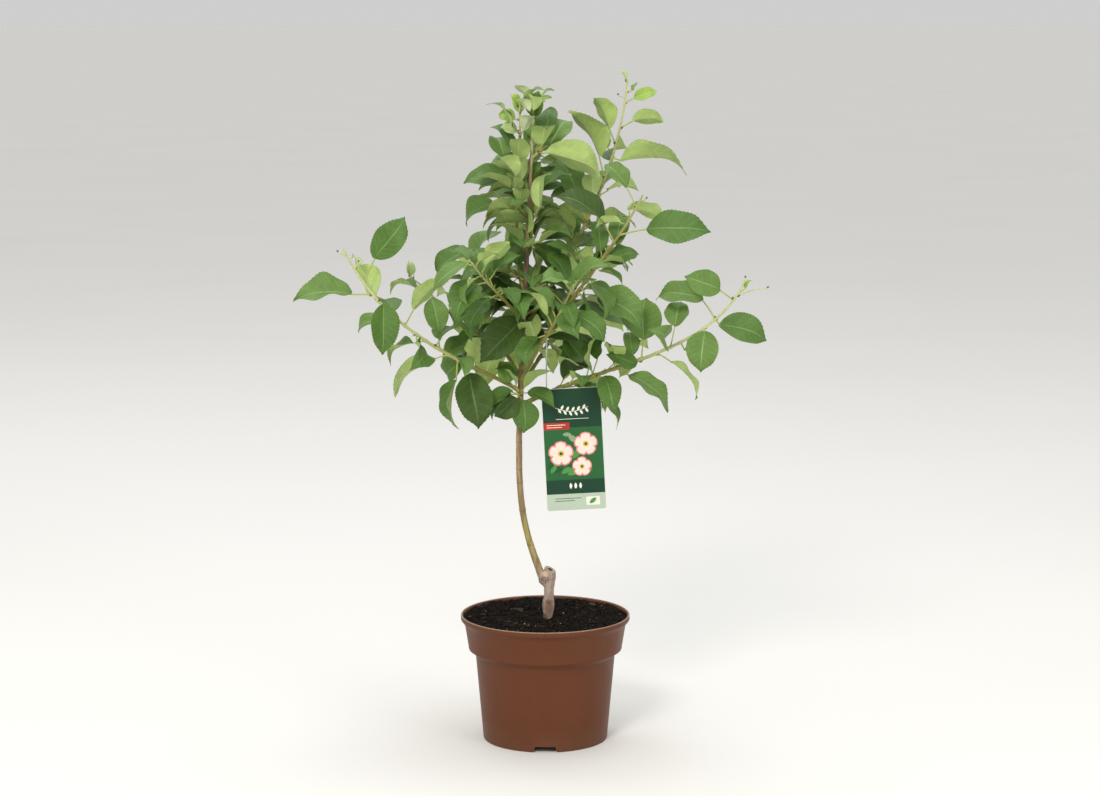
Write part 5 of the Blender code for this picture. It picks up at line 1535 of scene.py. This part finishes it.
def pot_section():
    """The pot's outline at a fine pitch: its corners rounded, a bead under the lip and one below the band."""
    outer = [
        (0.0, 0.0), (FLOOR_DISC_RADIUS - 0.001, 0.0), (FLOOR_DISC_RADIUS, 0.0007),
        (FLOOR_DISC_RADIUS + 0.003, CHANNEL_HEIGHT - 0.0006), (FLOOR_DISC_RADIUS + 0.0038, CHANNEL_HEIGHT),
        (FOOT_RADIUS - 0.0046, CHANNEL_HEIGHT),
        (FOOT_RADIUS - 0.0040, CHANNEL_HEIGHT - 0.0006), (FOOT_RADIUS - 0.0027, 0.0006),
        (FOOT_RADIUS - 0.0022, 0.0),
        (FOOT_RADIUS - 0.0010, 0.0), (FOOT_RADIUS - 0.0003, 0.0004), (FOOT_RADIUS, 0.0014),
    ]
    for share in (0.25, 0.5, 0.75):
        radius = FOOT_RADIUS + (BODY_TOP_RADIUS - FOOT_RADIUS) * share
        outer.append((radius, 0.0014 + (BODY_TOP - 0.0014) * share))
    outer += [
        (BODY_TOP_RADIUS - 0.0001, BODY_TOP - 0.0008), (BODY_TOP_RADIUS + 0.0003, BODY_TOP + 0.0003),
        (STEP_RADIUS, STEP_HEIGHT), (BAND_FOOT_RADIUS - 0.0014, BAND_FOOT - 0.0009),
        (BAND_FOOT_RADIUS - 0.0008, BAND_FOOT - 0.0012), (BAND_FOOT_RADIUS - 0.0002, BAND_FOOT - 0.0009),
        (BAND_FOOT_RADIUS + 0.0001, BAND_FOOT), (BAND_FOOT_RADIUS + 0.0002, BAND_FOOT + 0.0020),
        (BAND_TOP_RADIUS - 0.0002, LIP_FOOT - 0.0010), (BAND_TOP_RADIUS + 0.0006, LIP_FOOT + 0.0004),
        (LIP_RADIUS - 0.0014, 0.1499), (LIP_RADIUS - 0.0004, 0.1504), (LIP_RADIUS, 0.1513),
        (LIP_RADIUS, POT_HEIGHT - 0.0012), (LIP_RADIUS - 0.0003, POT_HEIGHT - 0.0004),
        (LIP_RADIUS - 0.0010, POT_HEIGHT), (LIP_RADIUS - 0.0019, POT_HEIGHT - 0.0003),
        (LIP_RADIUS - 0.0024, POT_HEIGHT - 0.0012),
    ]
    return outer + pot_inner() + [(0.0, POT_WALL)]


def make_pot(settings):
    """The pot turned from its section, with the drainage notches cut through its foot."""
    shell = mesh_from(turned(pot_section(), POT_TURNS), "pot_shell")
    pot = object_from("pot_shell", shell, [moulded_brown(settings)])
    bm = bmesh.new()
    for index in range(NOTCHES):
        made = bmesh.ops.create_cube(bm, size=1.0)["verts"]
        for vert in made:
            width = NOTCH_TOP_WIDTH if vert.co.z > 0 else NOTCH_FOOT_WIDTH
            height = NOTCH_HEIGHT if vert.co.z > 0 else -0.002
            vert.co = Vector((FOOT_RADIUS + vert.co.x * NOTCH_DEPTH, vert.co.y * width, height))
        turn = Matrix.Rotation(math.radians(270.0 + index * 360.0 / NOTCHES), 4, "Z")
        bmesh.ops.transform(bm, matrix=turn, verts=made)
    cutter = object_from("notch_cutter", mesh_from(bm, "notch_cutter"), [])
    pot.data = cut_with(pot, cutter, "drainage notches")
    pot.data.shade_smooth()
    pot.data.set_sharp_from_angle(angle=math.radians(40.0))
    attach(pot, "root")
    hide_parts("pot")


# The compost

SOIL_RINGS = 54
SOIL_TURNS = 190
SOIL_PEAK = 4.2 * MM
CRUMBS = 2600
FIBRES = 16
PEAT, CHIP, GRIT, MOSS = range(4)
CRUMB_SHARES = (0.90, 0.035, 0.012, 0.05)
# The loose bits other than peat: their material, its colour, roughness and two tones, and its mottle in mm
LOOSE_BITS = (
    ("composted bark chip", "#3c2a1b", 0.9, "#2a1d13", "#4e3b28", 2.0),
    ("pale mineral grit", "#a69a86", 0.8, "#8d8271", "#c3b9a6", 0.8),
    ("specks of moss", "#35361a", 0.95, "#1c1d0d", "#35351a", 1.5),
)


def peat(settings):
    """Moist peat compost: almost black and fibrous, with no shine of its own."""
    dark = settings.compost_colour
    material, shader, add = new_material("moist peat compost", dark, 0.95, {"Specular IOR Level": 0.12})
    place = add("TexCoord")["Object"]
    lumps = add("TexNoise", grain(place, 7.0, 8.0, 0.68))[0]
    stops = ((0.32, "#080503"), (0.50, dark), (0.64, "#22190f"), (0.78, "#2f2818"))
    height = add("Math", (lumps, add("TexNoise", grain(place, 1.2))[0]), operation="ADD")[0]
    set_inputs(shader, {
        "Base Color": add("ValToRGB", (lumps,), stops)[0], "Normal": add("Bump", relief(height, 1.2))[0]})
    return material


def loose_bit(name, base, roughness, dark, light, size_mm):
    """A dull material mottled between two tones."""
    material, shader, add = new_material(name, base, roughness)
    cloud = add("TexNoise", grain(add("TexCoord")["Object"], size_mm))[0]
    tint = add("ValToRGB", (cloud,), ((0.35, dark), (0.65, light)))[0]
    set_inputs(shader, {"Base Color": tint, "Normal": add("Bump", relief(cloud, 0.3))[0]})
    return material


def soil_level(x, y):
    """How far the compost lies above its even level: lumps, and a rise towards the wall."""
    away = math.hypot(x, y)
    lump = noise.noise((x / 0.016, y / 0.016, 0.5)) * 2.0 + noise.noise((x / 0.006, y / 0.006, 4.5)) * 1.3
    grit = noise.noise((x / 0.0022, y / 0.0022, 8.5)) * 0.8
    rise = 2.4 * min(1.0, max(0.0, (away - 0.030) / 0.060)) ** 1.5
    return (lump + grit + rise - 0.4) * MM


def crumb(lump, reach, draw):
    """One loose bit on the compost, its corners and its kind: a lump stretched, turned and made uneven."""
    away = (reach - 0.003) * math.sqrt(draw.uniform(0.012, 1.0))
    turn = draw.uniform(0.0, math.tau)
    x, y = away * math.cos(turn), away * math.sin(turn)
    size = draw.choice((0.6, 0.8, 0.8, 1.0, 1.2, 1.5, 2.0)) * draw.uniform(0.7, 1.2) * MM
    kind = draw.choices((PEAT, CHIP, GRIT, MOSS), CRUMB_SHARES)[0]
    shape = (draw.uniform(0.7, 1.3), draw.uniform(0.5, 1.0), draw.uniform(0.4, 0.8))
    if kind == CHIP:
        shape = (draw.uniform(2.0, 3.6), draw.uniform(0.5, 0.9), 0.3)
    if kind in (GRIT, MOSS):
        size = draw.uniform(0.5, 1.0) * MM
    spin = Matrix.Rotation(draw.uniform(0.0, math.tau), 3, "Z")
    spin = spin @ Matrix.Rotation(draw.uniform(-0.5, 0.5), 3, "X")
    jag = 1.0 + numpy.array([draw.uniform(-0.25, 0.25) for _ in lump])[:, None]
    grown = (lump * jag * numpy.array(shape) * size) @ numpy.array(spin.transposed())
    return grown + numpy.array((x, y, SOIL_TOP + soil_level(x, y) + size * 0.25)), kind


def fibre_course(draw):
    """The course of one root fibre that lies on the compost."""
    away, turn, heading = draw.uniform(0.015, 0.088), draw.uniform(0.0, math.tau), draw.uniform(0.0, math.tau)
    point = Vector((away * math.cos(turn), away * math.sin(turn), 0.0))
    course = []
    for _ in range(7):
        point.z = SOIL_TOP + soil_level(point.x, point.y) + draw.uniform(0.1, 0.5) * MM
        course.append(point.copy())
        heading += draw.uniform(-0.25, 0.25)
        point.x += draw.uniform(1.2, 2.6) * MM * math.cos(heading)
        point.y += draw.uniform(1.2, 2.6) * MM * math.sin(heading)
    return course


def make_compost(settings):
    """The compost as a lumpy surface on the buried body, with loose crumbs, chips, grit, moss and fibres."""
    wall = ((LIP_FOOT, BAND_TOP_RADIUS - POT_WALL), (POT_HEIGHT, LIP_RADIUS - POT_WALL))
    reach = between(wall, SOIL_TOP + 0.0024) - 0.0006
    section = [(reach * step / SOIL_RINGS, SOIL_TOP) for step in range(SOIL_RINGS + 1)]
    section += [(radius - GAP, height + GAP) for radius, height in pot_inner()] + [(0.0, POT_WALL + GAP)]
    bm = turned(section, SOIL_TURNS)
    for vert in bm.verts:
        if vert.co.z > SOIL_TOP - 1e-5:
            vert.co.z += min(soil_level(vert.co.x, vert.co.y), SOIL_PEAK)
    body = object_from("compost", mesh_from(bm, "compost"), [peat(settings)], 60.0)
    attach(body, "root")
    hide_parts("soil")
    bm = bmesh.new()
    bmesh.ops.create_icosphere(bm, subdivisions=1, radius=1.0)
    bm.verts.index_update()
    lump = numpy.array([tuple(vert.co) for vert in bm.verts])
    faces = [tuple(vert.index for vert in face.verts) for face in bm.faces]
    bm.free()
    draw = random.Random(5)
    gathered = Joined()
    for _ in range(CRUMBS):
        points, kind = crumb(lump, reach, draw)
        gathered.add((points, faces), kind)
    for _ in range(FIBRES):
        course = fibre_course(draw)
        if max(math.hypot(bend.x, bend.y) for bend in course) < reach - 0.003:
            gathered.add(tube(course, [draw.uniform(0.12, 0.25) * MM] * len(course), 5), CHIP)
    materials = [peat(settings)] + [loose_bit(*bit) for bit in LOOSE_BITS]
    crumbs = object_from("compost_crumbs", gathered.mesh("compost_crumbs"), materials)
    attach(crumbs, "root")


# The label

INKS = {
    "card": "#d5dacd", "ground": "#193f2b", "panel": "#2a6036", "footer": "#b3c2ae", "leaf": "#4f8f45",
    "dark_leaf": "#1d5530", "petal": "#f1d9cd", "blush": "#dc8580", "centre": "#d9b04a", "band": "#b3322b",
    "cream": "#e6e6d6", "sage": "#86a378",
}
INK_NUMBERS = {name: index for index, name in enumerate(INKS)}
INK_STEP = 0.03 * MM
LAYER = 0.014 * MM


STRAP_WIDTH = 1.7 * MM
STRAP_THICKNESS = 0.5 * MM
# How far the hanging card bows, and in how many bends
LABEL_BOW = 0.96 * MM
LABEL_BENDS = 12


def printed_card(name, base, roughness=0.38):
    """Printed card under a thin satin film: a flat ink, very slightly clouded."""
    material, shader, add = new_material(name, base, roughness, {"Specular IOR Level": 0.22})
    place = add("TexCoord")["Object"]
    shade = add("Math", (add("TexNoise", grain(place, 26.0, 2.0))[0], 0.16, 0.92), **SCALE_ADD)[0]
    film = add("TexNoise", grain(place, 18.0, 1.0))[0]
    set_inputs(shader, {
        "Base Color": add("Mix", {0: 1.0, 6: base, 7: shade}, **SHADE)[2],
        "Normal": add("Bump", relief(film, 0.12, 0.5))[0],
    })
    return material


class Print:
    """Flat patches of ink on one face of the card, in mm from its middle; each lies on those below it."""

    def __init__(self, bm, front):
        self.bm = bm
        self.side = -1.0 if front else 1.0

    def patch(self, outline, ink, layer):
        """A thin raised patch with a given outline."""
        depth = self.side * (LABEL_THICKNESS / 2 + 0.01 * MM + layer * LAYER)
        verts = [self.bm.verts.new((x * MM, depth, z * MM)) for x, z in outline]
        face = self.bm.faces.new(verts)
        face.normal_update()
        if face.normal.y * self.side < 0.0:
            face.normal_flip()
        face.material_index = INK_NUMBERS[ink]
        made = bmesh.ops.extrude_face_region(self.bm, geom=[face], use_keep_orig=True)
        new = [item for item in made["geom"] if isinstance(item, bmesh.types.BMVert)]
        bmesh.ops.translate(self.bm, verts=new, vec=(0.0, self.side * INK_STEP, 0.0))

    def flower(self, x, z, size, layer):
        """A five-petalled blossom: blushed outer petals, pale inner ones and a golden middle."""
        for petal in range(5):
            heading = 90 + 72 * petal
            self.patch(petal_outline(x, z, heading, size, size * 0.95, 1.8), "blush", layer + petal)
        for petal in range(5):
            heading = 90 + 72 * petal
            inner = petal_outline(x, z, heading, size * 0.90, size * 0.74, 1.8)
            self.patch(inner, "petal", layer + 5 + petal)
        self.patch(disc_outline(x, z, size * 0.24), "centre", layer + 11)
        self.patch(disc_outline(x, z, size * 0.12), "dark_leaf", layer + 12)


def petal_outline(x, z, heading, length, width, blunt=1.0, steps=12):
    """A petal or a leaf from its foot point: pointed at both ends, or round and broad towards its tip."""
    turn = math.radians(heading)
    points = []
    for step in range(2 * steps):
        share = step / steps if step <= steps else 2.0 - step / steps
        side = 1.0 if step <= steps else -1.0
        swell = math.sin(math.pi * share ** blunt) ** (0.8 / blunt) if 0.0 < share < 1.0 else 0.0
        half = side * 0.5 * width * swell
        points.append((x + length * share * math.cos(turn) - half * math.sin(turn),
                       z + length * share * math.sin(turn) + half * math.cos(turn)))
    return points


def disc_outline(x, z, radius, steps=24):
    return [(x + radius * math.cos(math.tau * step / steps), z + radius * math.sin(math.tau * step / steps))
            for step in range(steps)]


def box_outline(left, right, low, high):
    return [(left, low), (right, low), (right, high), (left, high)]


def round_box_outline(left, right, low, high, radius, corners=(True, True, True, True)):
    """A box whose chosen corners are rounded: low left, low right, high right, high left."""
    points = []
    places = ((left, low, 180), (right, low, 270), (right, high, 0), (left, high, 90))
    for (x, z, start), rounded in zip(places, corners):
        if not rounded:
            points.append((x, z))
            continue
        middle_x = x + radius if x == left else x - radius
        middle_z = z + radius if z == low else z - radius
        for step in range(6):
            turn = math.radians(start + 18 * step)
            points.append((middle_x + radius * math.cos(turn), middle_z + radius * math.sin(turn)))
    return points


def label_print(bm):
    """A plain generic design: a garland over a panel of blossoms, a coral band and a pale footer."""
    wide, tall = LABEL_WIDTH / 2 / MM - 0.5, LABEL_HEIGHT / 2 / MM - 0.5
    radius = LABEL_CORNER / MM - 0.4
    front = Print(bm, True)
    front.patch(round_box_outline(-wide, wide, -tall, tall, radius), "ground", 0)
    front.patch(round_box_outline(-wide, wide, -tall, -tall + 20.0, radius, (True, True, False, False)),
                "footer", 3)
    front.patch(box_outline(-wide, wide, -38.0, 27.0), "panel", 3)
    garland = [(-20.0 + 40.0 * step / 12, 52.0 - 5.0 * math.sin(math.pi * step / 12)) for step in range(13)]
    stem = [(x, z + 0.35) for x, z in garland] + [(x, z - 0.35) for x, z in reversed(garland)]
    front.patch(stem, "cream", 3)
    for step, (x, z) in enumerate(garland[1:-1]):
        heading = 60 if step % 2 else -60
        front.patch(petal_outline(x, z, heading, 6.4, 3.0), "cream", 5 + step % 2)
    front.patch(box_outline(-20.0, 20.0, 37.4, 38.0), "cream", 3)
    front.patch(box_outline(-wide, -4.0, 25.0, 33.5), "band", 7)
    front.patch(box_outline(-wide + 4.0, -9.0, 30.2, 31.0), "cream", 10)
    front.patch(box_outline(-wide + 4.0, -13.0, 27.4, 28.2), "cream", 10)
    draw = random.Random(9)
    for index in range(20):
        x, z = draw.uniform(-wide + 8.0, wide - 8.0), draw.uniform(-30.0, 19.0)
        heading, length = draw.uniform(0.0, 360.0), draw.uniform(10.0, 17.0)
        ends = (x + length * math.cos(math.radians(heading)), z + length * math.sin(math.radians(heading)))
        if abs(ends[0]) < wide - 0.5 and -37.0 < ends[1] < 24.0:
            ink = ("leaf", "dark_leaf", "sage")[index % 3]
            front.patch(petal_outline(x, z, heading, length, length * 0.46), ink, 5 + index)
    for x, z, size in ((15.0, 6.0, 15.0), (-16.0, -5.0, 16.0), (9.0, -22.0, 12.5)):
        front.flower(x, z, size, 27)
    for step in range(3):
        front.patch(petal_outline(-6.0 + 6.0 * step, -49.5, 90, 7.5, 3.4), "cream", 3)
    front.patch(box_outline(-26.0, 6.0, -61.5, -60.8), "ground", 6)
    front.patch(box_outline(-26.0, -2.0, -64.5, -63.8), "ground", 6)
    front.patch(round_box_outline(12.0, 29.0, -70.5, -60.0, 1.5), "cream", 6)
    front.patch(petal_outline(16.0, -68.5, 38, 11.0, 5.0), "leaf", 9)
    back = Print(bm, False)
    back.patch(round_box_outline(-wide, wide, -tall, tall, radius), "ground", 0)
    back.patch(round_box_outline(-wide + 4.0, wide - 4.0, -tall + 4.0, tall - 16.0, 2.0), "footer", 3)
    for step in range(7):
        low = 36.0 - 9.0 * step
        back.patch(box_outline(-24.0, 24.0 - 5.0 * (step % 3), low, low + 0.8), "ground", 6)
    back.flower(0.0, -46.0, 12.0, 6)


def hang(bm):
    """Give a card, or the print on it, the slight bow that a thin card takes, and put it in its place."""
    for bend in range(1, LABEL_BENDS):
        height = LABEL_HEIGHT * (bend / LABEL_BENDS - 0.5)
        bmesh.ops.bisect_plane(bm, geom=bm.verts[:] + bm.edges[:] + bm.faces[:], dist=1e-7,
                               plane_co=(0.0, 0.0, height), plane_no=(0.0, 0.0, 1.0))
    for vert in bm.verts:
        vert.co.y += LABEL_BOW * (1.0 - (2.0 * vert.co.z / LABEL_HEIGHT) ** 2)
    bmesh.ops.transform(bm, matrix=label_place(), verts=bm.verts)


def label_card():
    """The mesh of the card: its corners rounded, its hole punched, and bowed."""
    bm = bmesh.new()
    bmesh.ops.create_cube(bm, size=1.0)
    bmesh.ops.scale(bm, vec=(LABEL_WIDTH, LABEL_THICKNESS, LABEL_HEIGHT), verts=bm.verts)
    corners = [edge for edge in bm.edges if edge.verts[0].co.y * edge.verts[1].co.y < 0.0]
    bmesh.ops.bevel(bm, geom=corners, offset=LABEL_CORNER, segments=8, profile=0.5, affect="EDGES",
                    material=-1)
    card = object_from("label_card", mesh_from(bm, "label_card"), [])
    upright = Matrix.Translation(label_hole()) @ Matrix.Rotation(math.radians(90), 4, "X")
    bm = bmesh.new()
    bmesh.ops.create_cone(bm, cap_ends=True, segments=32, radius1=HOLE_RADIUS, radius2=HOLE_RADIUS,
                          depth=LABEL_THICKNESS * 10, matrix=upright)
    card.data = cut_with(card, object_from("label_punch", mesh_from(bm, "label_punch"), []), "punched hole")
    bm = bmesh.new()
    bm.from_mesh(card.data)
    hang(bm)
    bm.to_mesh(card.data)
    bm.free()
    return card


def strap_mesh():
    """The flat strap: the solids' loop at a finer pitch, evened out, with an oval section."""
    rings = loop_rings()[:-1]
    rough = [ring.lerp(following, third / 3) for ring, following in zip(rings, rings[1:] + rings[:1])
             for third in range(3)]
    loop = [sum((rough[(index + shift) % len(rough)] for shift in range(-2, 3)), Vector()) / 5
            for index in range(len(rough))]
    flat = Vector((1.0, 0.0, 0.0))
    oval = Matrix.Diagonal((STRAP_WIDTH / 2, STRAP_THICKNESS / 2, 1.0, 1.0))
    bm = bmesh.new()
    bands = []
    for index, point in enumerate(loop):
        along = (loop[(index + 1) % len(loop)] - loop[index - 1]).normalized()
        frame = Matrix((flat, along.cross(flat), along)).transposed().to_4x4()
        frame.translation = point
        bands.append(bmesh.ops.create_circle(bm, segments=8, radius=1.0, matrix=frame @ oval)["verts"])
    for ring, following in zip(bands, bands[1:] + bands[:1]):
        for corner in range(8):
            other = (corner + 1) % 8
            bm.faces.new((ring[corner], ring[other], following[other], following[corner]))
    bmesh.ops.recalc_face_normals(bm, faces=bm.faces)
    return mesh_from(bm, "label_strap")


def make_label(settings):
    """The card with its print, hung from its bough by a thin flat strap."""
    inks = [printed_card(f"printed card, {name} ink", code) for name, code in INKS.items()]
    card = label_card()
    card.data.materials.clear()
    card.data.materials.append(inks[0])
    bm = bmesh.new()
    label_print(bm)
    hang(bm)
    bmesh.ops.recalc_face_normals(bm, faces=bm.faces)
    printed = object_from("label_print", mesh_from(bm, "label_print"), inks)
    for piece in (card, printed):
        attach(piece, "root")
    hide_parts("label")
    material = plain_leaf_part("pale plastic strap", settings.strap_colour, 0.4, 4.0)
    strap = object_from("label_strap", strap_mesh(), [material], 60.0)
    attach(strap, "root")
    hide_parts("label_tie")


# The stage: a plain pale floor, soft lights and the camera

# The camera of the photograph: its place in metres, its pitch down, and its focal length in the pixels
# of a frame 1100 wide
IMAGE_WIDTH = 1100
CAMERA_PLACE = (0.0059, -3.163, 0.887)
CAMERA_PITCH = 8.257
CAMERA_FOCAL = 2597.0
FLOOR_RADIUS = 400.0
DOME_STRENGTH = 0.52

# Name, place, the point it is aimed at, size across, power and colour of each soft light. They point
# down more than across: a softbox lights nothing behind its own face, and that line would show on the floor
STUDIO_LIGHTS = (
    ("key_softbox", (-0.9, -2.9, 2.5), (-0.40, -1.30, 0.0), 1.0, 64.0, "#fffaf2"),
    ("fill_softbox", (2.3, -2.4, 1.6), (0.6, -0.6, 0.0), 1.6, 18.5, "#f8faff"),
    ("top_softbox", (0.3, 0.6, 3.2), (0.2, 0.4, 0.0), 1.4, 20.0, "#ffffff"),
    ("back_softbox", (-1.2, 2.0, 3.4), (-0.9, 1.5, 0.0), 1.6, 17.0, "#f8fbff"),
)



def placed(name, data, place=(0.0, 0.0, 0.0)):
    """A light or a camera in its place."""
    item = bpy.data.objects.new(name, data)
    bpy.context.scene.collection.objects.link(item)
    item.location = place
    return item


def make_stage(settings):
    """The floor, the even light from all round, the soft lights, and the camera of the photograph."""
    scene = bpy.context.scene
    bm = bmesh.new()
    bmesh.ops.create_circle(bm, cap_ends=True, segments=128, radius=FLOOR_RADIUS)
    material, shader, add = new_material("plain pale floor", settings.floor_colour, 0.9, {
        "Specular IOR Level": 0.2})
    cloud = add("TexNoise", grain(add("TexCoord")["Object"], 900.0, 2.0))[0]
    tint = add("ValToRGB", (cloud,), ((0.3, "#e5e4e0"), (0.7, "#e7e6e2")))[0]
    set_inputs(shader, {"Base Color": tint})
    floor = object_from("studio_floor", mesh_from(bm, "studio_floor"), [material])
    scene.view_settings.view_transform = "Standard"
    world = bpy.data.worlds.new("soft studio")
    scene.world = world
    world.use_nodes = True
    background = world.node_tree.nodes["Background"]
    set_inputs(background, {"Color": "#ffffff", "Strength": settings.world_strength})
    for name, place, target, size, watts, tint in STUDIO_LIGHTS:
        light = bpy.data.lights.new(name, "AREA")
        light.shape = "DISK"
        light.size = size
        light.energy = watts
        light.color = from_hex(tint)[:3]
        aim = Vector(target) - Vector(place)
        placed(name, light, place).rotation_euler = aim.to_track_quat("-Z", "Y").to_euler()
    dome = bpy.data.lights.new("overhead_dome", "SUN")
    dome.energy = DOME_STRENGTH
    dome.angle = math.radians(120.0)
    placed("overhead_dome", dome)
    camera = bpy.data.cameras.new("view")
    camera.sensor_width = 36.0
    camera.lens = CAMERA_FOCAL * camera.sensor_width / IMAGE_WIDTH
    eye = placed("view", camera, CAMERA_PLACE)
    eye.rotation_euler = (math.radians(90.0 - CAMERA_PITCH), 0.0, 0.0)
    scene.camera = eye


# What a user may set

def colour_property(name, code, description):
    return StringProperty(name=name, default=code, description=description)


class FRUITTREE_PG_leaves(bpy.types.PropertyGroup):
    """Leaves, stalks and shoots."""

    leaf_roughness: FloatProperty(name="Leaf roughness", default=0.42, min=0.0, max=1.0, subtype="FACTOR",
                                  description="Roughness of the waxy top side of a leaf")
    stalk_colour: colour_property("Leaf stalk", "#a2ab5c", "sRGB hex colour of the leaf stalks")
    shoot_colour: colour_property("Shoot", "#8c8c40", "sRGB hex colour of this year's bark")


class FRUITTREE_PG_pot(bpy.types.PropertyGroup):
    """Pot, compost and label."""

    pot_colour: colour_property("Pot", "#623924", "sRGB hex colour of the moulded pot")
    compost_colour: colour_property("Compost", "#130e09", "sRGB hex colour of the damp compost")
    strap_colour: colour_property("Strap", "#c4cbb4", "sRGB hex colour of the label's strap")


class FRUITTREE_PG_stage(bpy.types.PropertyGroup):
    """Floor and light."""

    floor_colour: colour_property("Floor", "#e6e5e1", "sRGB hex colour of the plain floor")
    world_strength: FloatProperty(name="Ambient light", default=0.62, min=0.0, max=3.0,
                                  description="Strength of the even light from all round")


# The operators, one for each group of pieces

class FRUITTREE_OT_trunk(bpy.types.Operator):
    """Make the trunk's foot with its graft, the leader and the boughs"""

    bl_idname = "fruittree.make_trunk"
    bl_label = "Trunk and boughs"

    def execute(self, context):
        make_foot()
        make_leader()
        make_boughs(context.scene.fruittree_leaves)
        return {"FINISHED"}


class FRUITTREE_OT_shoots(bpy.types.Operator):
    """Make the leafy shoots with their stalks and buds"""

    bl_idname = "fruittree.make_shoots"
    bl_label = "Shoots and stalks"

    def execute(self, context):
        make_shoots(context.scene.fruittree_leaves)
        return {"FINISHED"}


class FRUITTREE_OT_leaves(bpy.types.Operator):
    """Make the leaves"""

    bl_idname = "fruittree.make_leaves"
    bl_label = "Leaves"

    def execute(self, context):
        make_leaves(context.scene.fruittree_leaves)
        return {"FINISHED"}


class FRUITTREE_OT_pot(bpy.types.Operator):
    """Make the nursery pot"""

    bl_idname = "fruittree.make_pot"
    bl_label = "Nursery pot"

    def execute(self, context):
        make_pot(context.scene.fruittree_pot)
        return {"FINISHED"}


class FRUITTREE_OT_compost(bpy.types.Operator):
    """Make the compost and its crumbs"""

    bl_idname = "fruittree.make_compost"
    bl_label = "Compost"

    def execute(self, context):
        make_compost(context.scene.fruittree_pot)
        return {"FINISHED"}


class FRUITTREE_OT_label(bpy.types.Operator):
    """Make the hanging label with its generic print and strap"""

    bl_idname = "fruittree.make_label"
    bl_label = "Hanging label"

    def execute(self, context):
        make_label(context.scene.fruittree_pot)
        return {"FINISHED"}


class FRUITTREE_OT_stage(bpy.types.Operator):
    """Make the floor, the lights and the camera"""

    bl_idname = "fruittree.make_stage"
    bl_label = "Stage"

    def execute(self, context):
        make_stage(context.scene.fruittree_stage)
        return {"FINISHED"}


PANEL_ROWS = (
    ("fruittree_leaves", (FRUITTREE_OT_trunk, FRUITTREE_OT_shoots, FRUITTREE_OT_leaves)),
    ("fruittree_pot", (FRUITTREE_OT_pot, FRUITTREE_OT_compost, FRUITTREE_OT_label)),
    ("fruittree_stage", (FRUITTREE_OT_stage,)),
)


class FRUITTREE_PT_panel(bpy.types.Panel):
    """The fruit tree's pieces and settings"""

    bl_label = "Fruit tree"
    bl_idname = "FRUITTREE_PT_panel"
    bl_space_type = "VIEW_3D"
    bl_region_type = "UI"
    bl_category = "Fruit tree"

    def draw(self, context):
        layout = self.layout
        for settings, operators in PANEL_ROWS:
            box = layout.box()
            group = getattr(context.scene, settings)
            for key in group.__annotations__:
                box.prop(group, key)
            for operator in operators:
                box.operator(operator.bl_idname)


CLASSES = (
    FRUITTREE_PG_leaves, FRUITTREE_PG_pot, FRUITTREE_PG_stage, FRUITTREE_OT_trunk, FRUITTREE_OT_shoots,
    FRUITTREE_OT_leaves, FRUITTREE_OT_pot, FRUITTREE_OT_compost, FRUITTREE_OT_label, FRUITTREE_OT_stage,
    FRUITTREE_PT_panel,
)


def register():
    for kind in CLASSES:
        bpy.utils.register_class(kind)
    bpy.types.Scene.fruittree_leaves = PointerProperty(type=FRUITTREE_PG_leaves)
    bpy.types.Scene.fruittree_pot = PointerProperty(type=FRUITTREE_PG_pot)
    bpy.types.Scene.fruittree_stage = PointerProperty(type=FRUITTREE_PG_stage)


def unregister():
    del bpy.types.Scene.fruittree_stage
    del bpy.types.Scene.fruittree_pot
    del bpy.types.Scene.fruittree_leaves
    for kind in reversed(CLASSES):
        bpy.utils.unregister_class(kind)


def main():
    register()
    bpy.ops.fruittree.make_stage()
    bpy.ops.fruittree.make_trunk()
    bpy.ops.fruittree.make_shoots()
    bpy.ops.fruittree.make_leaves()
    bpy.ops.fruittree.make_pot()
    bpy.ops.fruittree.make_compost()
    bpy.ops.fruittree.make_label()


if __name__ == "__main__":
    main()
